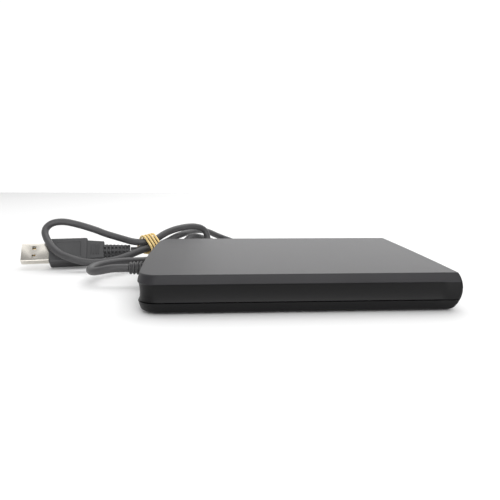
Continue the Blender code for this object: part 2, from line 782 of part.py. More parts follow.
BEZEL_LOW = FOOT_PROUD + FRONT_OPENING_LOW + FIT_GAP
BEZEL_HIGH = FOOT_PROUD + FRONT_OPENING_HIGH - FIT_GAP
BEZEL_HALF = FRONT_OPENING_WIDTH / 2 - FIT_GAP
BEZEL_FACE = CASE_LENGTH / 2 - BEZEL_RECESS
BEZEL_BACK = BEZEL_FACE - BEZEL_DEPTH
POCKET_FRONT = BEZEL_FACE - BEZEL_WALL
POCKET_HALF = BEZEL_HALF - BEZEL_RIM
DOOR_LOW = SLOT_LOW - DOOR_OVERLAP
DOOR_HIGH = SLOT_HIGH + DOOR_OVERLAP + DOOR_THICKNESS / 4
DOOR_FRONT = POCKET_FRONT - DOOR_SET_BACK
DOOR_AXIS = (DOOR_FRONT - DOOR_THICKNESS / 2, 0.0, DOOR_HIGH - DOOR_THICKNESS / 2)
DOOR_HALF = POCKET_HALF - FIT_GAP


def make_bezel():
    surface = trim_plastic()
    steps = 12
    levels = 7
    rings = []
    for level in range(levels):
        z = BEZEL_LOW + (BEZEL_HIGH - BEZEL_LOW) * level / (levels - 1)
        ring = []
        for index in range(steps + 1):
            y = BEZEL_HALF * (2 * index / steps - 1)
            ring.append((front_face(z - FOOT_PROUD, y) - BEZEL_RECESS, y, z))
        ring += [(BEZEL_BACK, BEZEL_HALF, z), (BEZEL_BACK, -BEZEL_HALF, z)]
        rings.append(ring)
    bezel = loft("front_bezel", rings, surface)
    past = CASE_LENGTH / 2 + OVERRUN
    pocket = box("pocket", (BEZEL_BACK - OVERRUN, -POCKET_HALF, BEZEL_LOW + BEZEL_LIP),
                 (POCKET_FRONT, POCKET_HALF, BEZEL_HIGH - BEZEL_LIP), surface)
    slot = box("slot", (BEZEL_BACK, -SLOT_WIDTH / 2, SLOT_LOW), (past, SLOT_WIDTH / 2, SLOT_HIGH), surface)
    slot_middle = (SLOT_LOW + SLOT_HIGH) / 2
    notch = box("notch", (BEZEL_FACE - NOTCH_DEPTH, -NOTCH_WIDTH / 2, slot_middle - NOTCH_HEIGHT / 2),
                (past, NOTCH_WIDTH / 2, slot_middle + NOTCH_HEIGHT / 2), surface)
    half_width = BUTTON_WIDTH / 2 + FIT_GAP
    half_height = BUTTON_HEIGHT / 2 + FIT_GAP
    button_hole = box("button_hole",
                      (BEZEL_BACK, BUTTON_OFFSET - half_width, BUTTON_MIDDLE - half_height),
                      (past, BUTTON_OFFSET + half_width, BUTTON_MIDDLE + half_height), surface)
    lamp_hole = rod("lamp_hole", (BEZEL_BACK, -LAMP_OFFSET, LAMP_MIDDLE), (1.0, 0.0, 0.0),
                    past - BEZEL_BACK, LAMP_RADIUS + FIT_GAP, surface)
    pin_hole = rod("pin_hole", (DOOR_AXIS[0], -DOOR_HALF - DOOR_PIN_LENGTH - FIT_GAP, DOOR_AXIS[2]),
                   (0.0, 1.0, 0.0), 2 * (DOOR_HALF + DOOR_PIN_LENGTH + FIT_GAP),
                   DOOR_PIN_RADIUS + FIT_GAP, surface, 12)
    cut(bezel, pocket, slot, notch, button_hole, lamp_hole, pin_hole)
    return smooth(bezel)


def door_spring_middle():
    return -DOOR_HALF + DOOR_NOTCH_WIDTH


def make_door():
    surface = trim_plastic()
    back = DOOR_FRONT - DOOR_THICKNESS
    door = box("disk_door", (back, -DOOR_HALF, DOOR_LOW), (DOOR_FRONT, DOOR_HALF, DOOR_HIGH), surface)
    middle = door_spring_middle()
    notch = box("door_notch", (back - OVERRUN, middle - DOOR_NOTCH_WIDTH / 2, DOOR_HIGH - DOOR_NOTCH_HEIGHT),
                (DOOR_FRONT + OVERRUN, middle + DOOR_NOTCH_WIDTH / 2, DOOR_HIGH + OVERRUN), surface)
    cut(door, notch)
    reach = DOOR_HALF + DOOR_PIN_LENGTH
    pin = rod("door_pin", (DOOR_AXIS[0], -reach, DOOR_AXIS[2]), (0.0, 1.0, 0.0), 2 * reach,
              DOOR_PIN_RADIUS, surface, 12)
    join(door, pin)
    return hinge_origin(smooth(door), DOOR_AXIS)


def make_door_spring():
    radius = DOOR_PIN_RADIUS + FIT_GAP
    width = DOOR_NOTCH_WIDTH - 4 * DOOR_SPRING_WIRE - 2 * FIT_GAP
    start = door_spring_middle() - width / 2
    per_turn = 9
    count = DOOR_SPRING_TURNS * per_turn
    points = [(DOOR_AXIS[0] - radius, start, DOOR_AXIS[2] - DOOR_NOTCH_HEIGHT - DOOR_THICKNESS)]
    for index in range(count + 1):
        angle = math.pi + math.tau * index / per_turn
        points.append((DOOR_AXIS[0] + radius * math.cos(angle), start + width * index / count,
                       DOOR_AXIS[2] + radius * math.sin(angle)))
    return tube("door_spring", points, DOOR_SPRING_WIRE, spring_steel(), 1)


def make_button():
    surface = trim_plastic()
    face = front_face(BUTTON_MIDDLE - FOOT_PROUD, BUTTON_OFFSET) - BEZEL_RECESS + BUTTON_PROUD
    back = CAGE_FRONT + FIT_GAP + SLIDE_TAB_THICKNESS + FIT_GAP
    low = (back, BUTTON_OFFSET - BUTTON_WIDTH / 2, BUTTON_MIDDLE - BUTTON_HEIGHT / 2)
    high = (face, BUTTON_OFFSET + BUTTON_WIDTH / 2, BUTTON_MIDDLE + BUTTON_HEIGHT / 2)
    button = box("eject_button", low, high, surface)
    rounding = button.modifiers.new("edges", "BEVEL")
    rounding.width = BUTTON_ROUND
    rounding.segments = 2
    return button


def make_lamp():
    tip = front_face(LAMP_MIDDLE - FOOT_PROUD, LAMP_OFFSET) - BEZEL_RECESS + LAMP_PROUD
    start = SENSOR_BOARD_FRONT + FIT_GAP
    length = tip - start
    collar = POCKET_FRONT - FIT_GAP - start
    return turned("led_lens", (start, -LAMP_OFFSET, LAMP_MIDDLE), (1.0, 0.0, 0.0),
                  ((0.0, LAMP_RADIUS), (collar - LAMP_FLANGE, LAMP_RADIUS),
                   (collar - LAMP_FLANGE, LAMP_RADIUS + LAMP_FLANGE), (collar, LAMP_RADIUS + LAMP_FLANGE),
                   (collar, LAMP_RADIUS), (length - LAMP_PROUD, LAMP_RADIUS),
                   (length, LAMP_RADIUS - LAMP_PROUD)), lamp_plastic(), 16)


# Chassis and disk loading

def make_chassis():
    surface = sheet_steel()
    half = CHASSIS_HALF_WIDTH
    floor = CHASSIS_LOW + SHEET
    chassis = box("chassis", (CHASSIS_REAR, -half, CHASSIS_LOW), (CHASSIS_FRONT, half, CHASSIS_TOP), surface)
    hollow = box("hollow", (CHASSIS_REAR - OVERRUN, SHEET - half, floor),
                 (CHASSIS_FRONT + OVERRUN, half - SHEET, CHASSIS_TOP + OVERRUN), surface)
    cuts = [hollow]
    width = PIN_RADIUS + FIT_GAP
    for x in (PIN_REAR, PIN_FRONT):
        cuts.append(box("pin_slot", (x - width, -half - OVERRUN, PIN_HEIGHT - CAGE_LIFT - width),
                        (x + width, half + OVERRUN, CHASSIS_TOP + OVERRUN), surface))
    for x, y in screw_places():
        cuts.append(rod("screw_hole", (x, y, CHASSIS_LOW - OVERRUN), (0.0, 0.0, 1.0), SHEET + 2 * OVERRUN,
                        SCREW_SHANK_RADIUS + FIT_GAP, surface, 12))
    cut(chassis, *cuts)
    lugs = []
    for side in (-1, 1):
        inner = side * LUG_INNER
        outer = side * (CAGE_INNER_HALF + CAGE_SHEET - SHIELD_RIB / 3)
        lugs.append(box("spring_lug", (SPRING_FRONT_LUG, min(inner, outer), floor - SHEET / 2),
                        (SPRING_FRONT_LUG + LUG_THICKNESS, max(inner, outer), LUG_TOP), surface))
    rod_seat = ROD_Z - ROD_RADIUS - FIT_GAP
    for x in (ROD_REAR, ROD_FRONT - ROD_LUG_LENGTH):
        lugs.append(box("rod_lug", (x, ROD_Y - 2 * ROD_RADIUS, floor - SHEET / 2),
                        (x + ROD_LUG_LENGTH, ROD_Y + 2 * ROD_RADIUS, rod_seat), surface))
    return join(chassis, *lugs)


def make_shield():
    half = CHASSIS_HALF_WIDTH
    low = CHASSIS_TOP + FIT_GAP
    shield = box("shield_cover", (SHIELD_REAR, -half, low), (CHASSIS_FRONT, half, low + SHIELD_SHEET),
                 sheet_steel())
    rib_low = low + SHIELD_SHEET / 2
    rib_high = low + SHIELD_SHEET + SHIELD_RIB
    ribs = []
    for x in (SHIELD_REAR + SLIDE_NOTCH_WIDTH, CHASSIS_FRONT - SLIDE_NOTCH_WIDTH):
        ribs.append(box("rib", (x, -half / 2, rib_low), (x + LATCH_HUB_RADIUS, half / 2, rib_high),
                        sheet_steel()))
    return join(shield, *ribs)


def make_cage():
    surface = sheet_steel()
    outer = CAGE_INNER_HALF + CAGE_SHEET
    low = CAGE_LIP_TOP - CAGE_ROOF_SHEET
    high = CAGE_ROOF + CAGE_ROOF_SHEET
    cage = box("disk_cage", (CAGE_REAR, -outer, low), (CAGE_FRONT, outer, high), surface)
    ahead = CAGE_FRONT + OVERRUN
    behind = CAGE_REAR - OVERRUN
    lip_inner = CAGE_INNER_HALF - CAGE_LIP_WIDTH
    cut(cage,
        box("disk_space", (behind, -CAGE_INNER_HALF, CAGE_LIP_TOP), (ahead, CAGE_INNER_HALF, CAGE_ROOF),
            surface),
        box("floor_gap", (behind, -lip_inner, low - OVERRUN), (ahead, lip_inner, CAGE_ROOF), surface),
        box("head_notch", (behind, -CAGE_NOTCH_WIDTH / 2, CAGE_ROOF - OVERRUN),
            (CAGE_NOTCH_FRONT, CAGE_NOTCH_WIDTH / 2, high + OVERRUN), surface))
    pins = []
    for side in (-1.0, 1.0):
        start = CAGE_INNER_HALF + CAGE_SHEET / 2
        for x in (PIN_REAR, PIN_FRONT):
            pins.append(rod("pin", (x, side * start, PIN_HEIGHT), (0.0, side, 0.0), PIN_REACH - start,
                            PIN_RADIUS, surface, 10))
    return join(cage, *pins)


def slanted_slot(x, side, surface):
    """the slot that a cage pin slides down as the slide moves to the front"""
    reach = PIN_RADIUS + FIT_GAP
    slope = Vector((-SLIDE_TRAVEL, 0.0, -CAGE_LIFT))
    along = slope.normalized()
    across = Vector((along.z, 0.0, -along.x)) * reach
    top = Vector((x, 0.0, PIN_HEIGHT)) - along * reach
    bottom = Vector((x, 0.0, PIN_HEIGHT)) + slope + along * reach
    corners = [top + across, top - across, bottom - across, bottom + across]
    inner = side * (CAGE_INNER_HALF + CAGE_SHEET / 2)
    outer = side * PIN_REACH
    rings = [[(corner.x, y, corner.z) for corner in corners] for y in (inner, outer)]
    return loft("pin_slot", rings, surface)


def make_slide():
    surface = sheet_steel()
    inner = CAGE_INNER_HALF + CAGE_SHEET + FIT_GAP
    outer = inner + CAGE_SHEET
    low = SLIDE_PLATE_LOW
    high = low + SLIDE_SHEET
    slide = box("eject_slide", (SLIDE_REAR, -outer, SLIDE_FLANGE_LOW), (SLIDE_FRONT, outer, high), surface)
    cuts = [box("between", (SLIDE_REAR - OVERRUN, -inner, SLIDE_FLANGE_LOW - OVERRUN),
                (SLIDE_FRONT + OVERRUN, inner, low), surface),
            box("head_notch", (SLIDE_REAR - OVERRUN, -SLIDE_NOTCH_WIDTH / 2, low - OVERRUN),
                (CAGE_NOTCH_FRONT, SLIDE_NOTCH_WIDTH / 2, high + OVERRUN), surface),
            box("window", (SPINDLE_X - SLIDE_WINDOW_LENGTH / 4, -SLIDE_WINDOW_WIDTH / 2, low - OVERRUN),
                (SPINDLE_X + SLIDE_WINDOW_LENGTH * 3 / 4, SLIDE_WINDOW_WIDTH / 2, high + OVERRUN), surface)]
    for side in (-1, 1):
        for x in (PIN_REAR, PIN_FRONT):
            cuts.append(slanted_slot(x, side, surface))
    cut(slide, *cuts)
    tab_rear = CAGE_FRONT + FIT_GAP
    tab_front = tab_rear + SLIDE_TAB_THICKNESS
    parts = [box("bar", (SLIDE_FRONT - OVERRUN, inner, SLIDE_FLANGE_LOW), (tab_front, outer, SLIDE_TAB_HIGH),
                 surface),
             box("tab", (tab_rear, SLIDE_TAB_INNER, SLIDE_FLANGE_LOW), (tab_front, outer, SLIDE_TAB_HIGH),
                 surface)]
    for side in (-1, 1):
        near = side * LUG_INNER
        far = side * (inner + CAGE_SHEET / 2)
        parts.append(box("lug", (SPRING_REAR_LUG, min(near, far), SLIDE_FLANGE_LOW),
                         (SPRING_REAR_LUG + LUG_THICKNESS, max(near, far), LUG_TOP), surface))
    return join(slide, *parts)


def make_slide_springs():
    start = SPRING_REAR_LUG + LUG_THICKNESS + SPRING_WIRE + FIT_GAP / 2
    length = SPRING_FRONT_LUG - SPRING_WIRE - FIT_GAP / 2 - start
    per_turn = 8
    count = SPRING_TURNS * per_turn
    for name, side in (("slide_spring_left", -1), ("slide_spring_right", 1)):
        points = []
        for index in range(count + 1):
            angle = math.tau * index / per_turn
            points.append((start + length * index / count,
                           side * SPRING_AXIS_Y + SPRING_RADIUS * math.cos(angle),
                           SPRING_AXIS_Z + SPRING_RADIUS * math.sin(angle)))
        tube(name, points, SPRING_WIRE, spring_steel(), 0)


def make_latch():
    lever_high = LATCH_LEVER_LOW + LATCH_LEVER_SHEET
    floor = CHASSIS_LOW + SHEET
    turned("latch_post", (LATCH_X, LATCH_Y, floor + FIT_GAP), (0.0, 0.0, 1.0),
           ((0.0, LATCH_POST_FOOT_RADIUS), (LATCH_FINGER, LATCH_POST_FOOT_RADIUS),
            (LATCH_FINGER, LATCH_POST_RADIUS),
            (LATCH_POST_TOP - floor - FIT_GAP, LATCH_POST_RADIUS)), sheet_steel(), 14)
    lever = rod("latch_lever", (LATCH_X, LATCH_Y, LATCH_LEVER_LOW), (0.0, 0.0, 1.0), LATCH_LEVER_SHEET,
                LATCH_HUB_RADIUS, sheet_steel(), 18)
    finger_high_x = SLIDE_REAR - FIT_GAP
    tip = LATCH_Y + LATCH_ARM
    arm = box("arm", (LATCH_X, LATCH_Y, LATCH_LEVER_LOW),
              (LATCH_X + LATCH_ARM_WIDTH, tip, lever_high), sheet_steel())
    finger = box("finger", (finger_high_x - LATCH_FINGER, tip - LATCH_ARM_WIDTH, LATCH_FINGER_LOW),
                 (finger_high_x, tip, LATCH_LEVER_LOW + LATCH_LEVER_SHEET / 2), sheet_steel())
    join(lever, arm, finger)
    bore = rod("bore", (LATCH_X, LATCH_Y, LATCH_LEVER_LOW - OVERRUN), (0.0, 0.0, 1.0), 2 * OVERRUN,
               LATCH_POST_RADIUS + FIT_GAP, sheet_steel(), 14)
    cut(lever, bore)
    hinge_origin(smooth(lever), (LATCH_X, LATCH_Y, LATCH_LEVER_LOW))
    per_turn = 9
    count = LATCH_SPRING_TURNS * per_turn
    low = LATCH_LEVER_LOW - LATCH_SPRING_DROP
    high = LATCH_LEVER_LOW - FIT_GAP - LATCH_SPRING_WIRE
    points = [(LATCH_X + LATCH_SPRING_RADIUS, LATCH_Y - LATCH_SPRING_LEG, low)]
    for index in range(count + 1):
        angle = math.tau * index / per_turn
        points.append((LATCH_X + LATCH_SPRING_RADIUS * math.cos(angle),
                       LATCH_Y + LATCH_SPRING_RADIUS * math.sin(angle),
                       low + (high - low) * index / count))
    points.append((LATCH_X + LATCH_SPRING_RADIUS, LATCH_Y + LATCH_SPRING_LEG, high))
    tube("latch_spring", points, LATCH_SPRING_WIRE, spring_steel(), 0)


# Spindle motor

def make_spindle():
    up = (0.0, 0.0, 1.0)
    x = SPINDLE_X
    board_top = BOARD_LOW + BOARD_SHEET
    board = box("motor_board", (MOTOR_BOARD_REAR, -MOTOR_BOARD_WIDTH / 2, BOARD_LOW),
                (MOTOR_BOARD_FRONT, MOTOR_BOARD_WIDTH / 2, board_top), board_green())
    cut(board, rod("bearing_hole", (x, 0.0, BOARD_LOW - OVERRUN), up, 2 * OVERRUN + BOARD_SHEET,
                   BEARING_RADIUS + FIT_GAP, board_green(), 20))
    bearing_top = ROTOR_TOP - ROTOR_SHEET - FIT_GAP
    bearing = rod("spindle_bearing", (x, 0.0, BOARD_LOW), up, bearing_top - BOARD_LOW, BEARING_RADIUS,
                  brass(), 20)
    cut(bearing, rod("bore", (x, 0.0, BOARD_LOW + BOARD_SHEET / 2), up, CASE_HEIGHT / 2,
                     SHAFT_RADIUS + FIT_GAP / 2, brass(), 16))
    smooth(bearing)
    rotor = rod("spindle_rotor", (x, 0.0, ROTOR_LOW), up, ROTOR_TOP - ROTOR_LOW, ROTOR_RADIUS,
                sheet_steel(), 36)
    cuts = [rod("cup", (x, 0.0, ROTOR_LOW - OVERRUN), up, OVERRUN + ROTOR_TOP - ROTOR_SHEET - ROTOR_LOW,
                ROTOR_RADIUS - ROTOR_SHEET, sheet_steel(), 36),
            rod("shaft_hole", (x, 0.0, ROTOR_LOW), up, OVERRUN, SHAFT_RADIUS + FIT_GAP / 2, sheet_steel(), 16)]
    for index in range(ROTOR_HOLES):
        angle = math.tau * index / ROTOR_HOLES
        cuts.append(rod("hole", (x + ROTOR_HOLE_CIRCLE * math.cos(angle), ROTOR_HOLE_CIRCLE * math.sin(angle),
                                 ROTOR_LOW), up, 2 * OVERRUN, ROTOR_HOLE_RADIUS, sheet_steel(), 12))
    cut(rotor, *cuts)
    hinge_origin(smooth(rotor), (x, 0.0, ROTOR_LOW))
    magnet_outer = ROTOR_RADIUS - ROTOR_SHEET - FIT_GAP
    magnet_height = ROTOR_TOP - ROTOR_SHEET - FIT_GAP - ROTOR_LOW
    magnet = rod("rotor_magnet", (x, 0.0, ROTOR_LOW), up, magnet_height, magnet_outer, magnet_grey(), 36)
    cut(magnet, rod("bore", (x, 0.0, ROTOR_LOW - OVERRUN), up, 2 * OVERRUN + magnet_height,
                    magnet_outer - MAGNET_THICKNESS, magnet_grey(), 36))
    hinge_origin(smooth(magnet), (x, 0.0, ROTOR_LOW))
    stator_high = ROTOR_TOP - ROTOR_SHEET - FIT_GAP
    stator_low = board_top + FIT_GAP
    stator = rod("stator", (x, 0.0, stator_low), up, stator_high - stator_low, STATOR_OUTER, brass(), 36)
    cuts = [rod("bore", (x, 0.0, stator_low - OVERRUN), up, 3 * OVERRUN, STATOR_INNER, brass(), 20)]
    for index in range(STATOR_POLES):
        angle = math.tau * (index + 0.5) / STATOR_POLES
        slot = box("slot", (STATOR_CORE, -STATOR_SLOT / 2, stator_low - OVERRUN),
                   (STATOR_OUTER + OVERRUN, STATOR_SLOT / 2, stator_high + OVERRUN), brass())
        slot.data.transform(Matrix.Translation((x, 0.0, 0.0)) @ Matrix.Rotation(angle, 4, "Z"))
        cuts.append(slot)
    cut(stator, *cuts)
    hub_low = ROTOR_TOP + FIT_GAP
    hub_top = hub_low + HUB_THICKNESS
    shaft_low = BOARD_LOW + BOARD_SHEET / 2 + FIT_GAP / 2
    hub = turned("spindle_hub", (x, 0.0, shaft_low), up,
                 ((0.0, SHAFT_RADIUS), (hub_low - shaft_low, SHAFT_RADIUS), (hub_low - shaft_low, HUB_RADIUS),
                  (hub_top - shaft_low, HUB_RADIUS), (hub_top - shaft_low, HUB_BOSS_RADIUS),
                  (hub_top + HUB_BOSS_HEIGHT - shaft_low, HUB_BOSS_RADIUS - HUB_THICKNESS)),
                 sheet_steel(), 28)
    join(hub, rod("drive_pin", (x + DRIVE_PIN_CIRCLE, 0.0, hub_low + HUB_THICKNESS / 2), up,
                  DRIVE_PIN_HEIGHT + HUB_THICKNESS / 2, DRIVE_PIN_RADIUS, sheet_steel(), 12))
    hinge_origin(smooth(hub), (x, 0.0, shaft_low))


# Head carriage and stepper

def make_carriage():
    surface = magnet_grey()
    carriage = box("head_carriage", (CARRIAGE_REAR, CARRIAGE_LEFT, CARRIAGE_LOW),
                   (CARRIAGE_SHOULDER, CARRIAGE_RIGHT, CARRIAGE_TOP), surface)
    nose = box("nose", (CARRIAGE_SHOULDER - OVERRUN, -CARRIAGE_NOSE_HALF_WIDTH, CARRIAGE_LOW),
               (CARRIAGE_NOSE, CARRIAGE_NOSE_HALF_WIDTH, CARRIAGE_TOP), surface)
    pillar_middle = ARM_PIVOT_X
    pillar = box("pillar", (pillar_middle - PILLAR_LENGTH / 2, -PILLAR_HALF_WIDTH, CARRIAGE_LOW),
                 (pillar_middle + PILLAR_LENGTH / 2, PILLAR_HALF_WIDTH, PILLAR_TOP), surface)
    bracket = box("needle_bracket", (pillar_middle - PILLAR_LENGTH / 2, CARRIAGE_LOW, CARRIAGE_LOW),
                  (pillar_middle + PILLAR_LENGTH / 2, CARRIAGE_RIGHT - FIT_GAP,
                   SCREW_Z + NEEDLE_RADIUS + CAGE_SHEET), surface)
    join(carriage, nose, pillar, bracket)
    bore = ROD_RADIUS + ROD_CLEARANCE
    cut(carriage, box("rod_channel", (CARRIAGE_REAR - OVERRUN, ROD_Y - bore, CARRIAGE_LOW - OVERRUN),
                      (CARRIAGE_SHOULDER + OVERRUN, ROD_Y + bore, ROD_Z + bore), surface),
        box("needle_seat", (NEEDLE_X - NEEDLE_RADIUS - FIT_GAP, CARRIAGE_RIGHT / 2 + CARRIAGE_LOW / 2,
                            SCREW_Z - NEEDLE_RADIUS - FIT_GAP),
            (NEEDLE_X + NEEDLE_RADIUS + FIT_GAP, CARRIAGE_RIGHT + OVERRUN,
             SCREW_Z + NEEDLE_RADIUS + FIT_GAP), surface))
    seat = CARRIAGE_RIGHT / 2 + CARRIAGE_LOW / 2 + FIT_GAP
    rod("carriage_needle", (NEEDLE_X, seat, SCREW_Z), (0.0, 1.0, 0.0),
        SCREW_Y - SCREW_RADIUS - FIT_GAP - seat, NEEDLE_RADIUS, spring_steel(), 12)
    half = HEAD_HALF_LENGTH
    box("lower_head", (HEAD_X - half, -HEAD_HALF_WIDTH, CARRIAGE_TOP + FIT_GAP),
        (HEAD_X + half, HEAD_HALF_WIDTH, LOWER_HEAD_TOP), white_plastic())
    box("upper_head", (HEAD_X - half, -HEAD_HALF_WIDTH, UPPER_HEAD_LOW),
        (HEAD_X + half, HEAD_HALF_WIDTH, UPPER_HEAD_TOP), white_plastic())
    arm_high = ARM_LOW + ARM_HEIGHT
    arm_front = HEAD_X + HEAD_HALF_LENGTH + ROD_CLEARANCE
    outline = [(ARM_PIVOT_X - ARM_HEEL_BEHIND, -ARM_HALF_WIDTH), (ARM_PIVOT_X + ARM_HEEL_AHEAD, -ARM_HALF_WIDTH),
               (arm_front, -ARM_TIP_HALF_WIDTH), (arm_front, ARM_TIP_HALF_WIDTH),
               (ARM_PIVOT_X + ARM_HEEL_AHEAD, ARM_HALF_WIDTH), (ARM_PIVOT_X - ARM_HEEL_BEHIND, ARM_HALF_WIDTH)]
    arm = prism("upper_head_arm", outline, ARM_LOW, arm_high, surface)
    heel = box("heel", (ARM_PIVOT_X - ARM_HEEL_BEHIND, -ARM_HALF_WIDTH, ARM_HEEL_LOW),
               (ARM_PIVOT_X + ARM_HEEL_AHEAD, ARM_HALF_WIDTH, ARM_LOW + ARM_HEIGHT / 2), surface)
    join(arm, heel)
    hinge_origin(arm, (ARM_PIVOT_X, 0.0, ARM_PIVOT_Z))
    rod("guide_rod", (ROD_REAR, ROD_Y, ROD_Z), (1.0, 0.0, 0.0), ROD_FRONT - ROD_REAR, ROD_RADIUS,
        sheet_steel(), 14)


def make_stepper():
    ahead = (1.0, 0.0, 0.0)
    length = STEPPER_FRONT - STEPPER_REAR
    middle = length / 2
    radius = STEPPER_RADIUS
    turned("stepper_motor", (STEPPER_REAR, SCREW_Y, SCREW_Z), ahead,
           ((0.0, radius - STEPPER_GROOVE), (STEPPER_GROOVE, radius), (middle - STEPPER_BAND / 2, radius),
            (middle - STEPPER_BAND / 2, radius - STEPPER_GROOVE),
            (middle + STEPPER_BAND / 2, radius - STEPPER_GROOVE), (middle + STEPPER_BAND / 2, radius),
            (length - STEPPER_GROOVE, radius), (length, radius - STEPPER_GROOVE)), sheet_steel(), 28)
    start = STEPPER_FRONT + FIT_GAP
    thread = SCREW_FRONT - start
    shape = bmesh.new()
    rings = []
    count = math.ceil(thread / SCREW_PITCH * SCREW_RINGS_A_TURN)
    for step in range(count + 1):
        x = start + thread * step / count
        ring = []
        for index in range(SCREW_SIDES):
            angle = math.tau * index / SCREW_SIDES
            phase = angle - math.tau * (x - start) / SCREW_PITCH
            radius = SCREW_RADIUS - SCREW_THREAD_DEPTH * (0.5 + 0.5 * math.cos(phase))
            ring.append(shape.verts.new((x, SCREW_Y + radius * math.cos(angle),
                                         SCREW_Z + radius * math.sin(angle))))
        rings.append(ring)
    for near, far in zip(rings, rings[1:]):
        for index in range(SCREW_SIDES):
            other = (index + 1) % SCREW_SIDES
            shape.faces.new((near[index], near[other], far[other], far[index]))
    shape.faces.new(rings[0])
    shape.faces.new(rings[-1])
    screw = from_bmesh("lead_screw", shape, sheet_steel())
    block_rear = SCREW_FRONT + FIT_GAP
    join(screw, rod("journal", (SCREW_FRONT - SCREW_RADIUS, SCREW_Y, SCREW_Z), ahead,
                    SCREW_RADIUS + FIT_GAP + BEARING_BLOCK_LENGTH * 3 / 4, JOURNAL_RADIUS, sheet_steel(), 12))
    hinge_origin(screw, (start, SCREW_Y, SCREW_Z))
    block = box("screw_bearing", (block_rear, SCREW_Y - BEARING_BLOCK_HALF_WIDTH, CHASSIS_LOW + SHEET + FIT_GAP),
                (block_rear + BEARING_BLOCK_LENGTH, SCREW_Y + BEARING_BLOCK_HALF_WIDTH, BEARING_BLOCK_TOP),
                sheet_steel())
    cut(block, rod("bore", (block_rear - OVERRUN, SCREW_Y, SCREW_Z), ahead,
                   2 * OVERRUN + BEARING_BLOCK_LENGTH, JOURNAL_RADIUS + FIT_GAP, sheet_steel(), 16))


# Boards, switches and lamp

def block_on(name, middle, size, low, height, surface):
    half_x = size[0] / 2
    half_y = size[1] / 2
    return box(name, (middle[0] - half_x, middle[1] - half_y, low),
               (middle[0] + half_x, middle[1] + half_y, low + height), surface)


def make_boards():
    board_top = BOARD_LOW + BOARD_SHEET
    box("control_board", (BOARD_REAR, BOARD_LEFT, BOARD_LOW), (BOARD_FRONT, BOARD_RIGHT, board_top),
        board_green())
    low = board_top + FIT_GAP
    block_on("controller_chip", (CHIP_X, CHIP_Y), (CHIP_SIZE, CHIP_SIZE), low, CHIP_HEIGHT, black_plastic())
    block_on("bridge_chip", (BRIDGE_X, BRIDGE_Y), (BRIDGE_SIZE, BRIDGE_SIZE), low, CHIP_HEIGHT, black_plastic())
    block_on("crystal", (CRYSTAL_X, CRYSTAL_Y), (CRYSTAL_LENGTH, CRYSTAL_WIDTH), low, CRYSTAL_HEIGHT,
             sheet_steel())
    block_on("cord_socket", (SOCKET_X, SOCKET_Y), (SOCKET_LENGTH, SOCKET_WIDTH), low, SOCKET_HEIGHT,
             white_plastic())
    box("sensor_board", (SENSOR_BOARD_REAR, -SENSOR_BOARD_HALF, BOARD_LOW),
        (SENSOR_BOARD_FRONT, SENSOR_BOARD_HALF, board_top), board_green())
    plunger_low = low + SWITCH_HEIGHT + FIT_GAP
    for name, y in (("write", WRITE_PLUNGER_Y), ("density", DENSITY_PLUNGER_Y), ("disk", DISK_PLUNGER_Y)):
        switch = block_on(f"{name}_switch", (SWITCH_X, y), (SWITCH_LENGTH, SWITCH_WIDTH), low,
                          SWITCH_HEIGHT, black_plastic())
        cut(switch, rod("bore", (SWITCH_X, y, low + SWITCH_FLOOR), (0.0, 0.0, 1.0), SWITCH_HEIGHT,
                        PLUNGER_RADIUS + FIT_GAP, black_plastic(), 12))
        turned(f"{name}_plunger", (SWITCH_X, y, plunger_low), (0.0, 0.0, 1.0),
               ((0.0, PLUNGER_RADIUS), (PLUNGER_HEIGHT - PLUNGER_RADIUS / 2, PLUNGER_RADIUS),
                (PLUNGER_HEIGHT, PLUNGER_RADIUS / 2)), white_plastic(), 12)
    led = box("activity_led", (SENSOR_BOARD_FRONT - LED_LENGTH, -LAMP_OFFSET - LED_WIDTH / 2, low),
              (SENSOR_BOARD_FRONT, -LAMP_OFFSET + LED_WIDTH / 2, low + LED_HEIGHT), lamp_plastic())
    return led


# Cord, relief, plug and band

def make_relief():
    wall_in = -CASE_LENGTH / 2 + wall_inset(CASE_HEIGHT, SIDE_WALL_RADIUS) + CASE_WALL
    collar = -CASE_LENGTH / 2 - FIT_GAP
    flange = wall_in + FIT_GAP
    ribs_start = collar - RELIEF_FLANGE_THICKNESS
    pitch = (ribs_start - RELIEF_END) / RELIEF_RIBS
    profile = [(flange + RELIEF_FLANGE_THICKNESS, RELIEF_FLANGE_RADIUS), (flange, RELIEF_FLANGE_RADIUS),
               (flange, RELIEF_NECK_RADIUS), (collar, RELIEF_NECK_RADIUS), (collar, RELIEF_COLLAR_RADIUS),
               (ribs_start, RELIEF_COLLAR_RADIUS)]
    for index in range(RELIEF_RIBS):
        start = ribs_start - pitch * index
        taper = (RELIEF_RIB_RADIUS - RELIEF_TIP_RADIUS) * index / RELIEF_RIBS / 2
        valley = RELIEF_GROOVE_RADIUS
        crown = RELIEF_RIB_RADIUS - taper
        rib_start = start - pitch * (1 - RELIEF_RIB_WIDTH_SHARE)
        profile += [(start, valley), (rib_start, valley), (rib_start, crown), (start - pitch, crown)]
    profile = [(-x, radius) for x, radius in profile]
    return turned("cord_relief", (0.0, 0.0, CORD_HEIGHT), (-1.0, 0.0, 0.0), profile, cord_rubber(), 20)


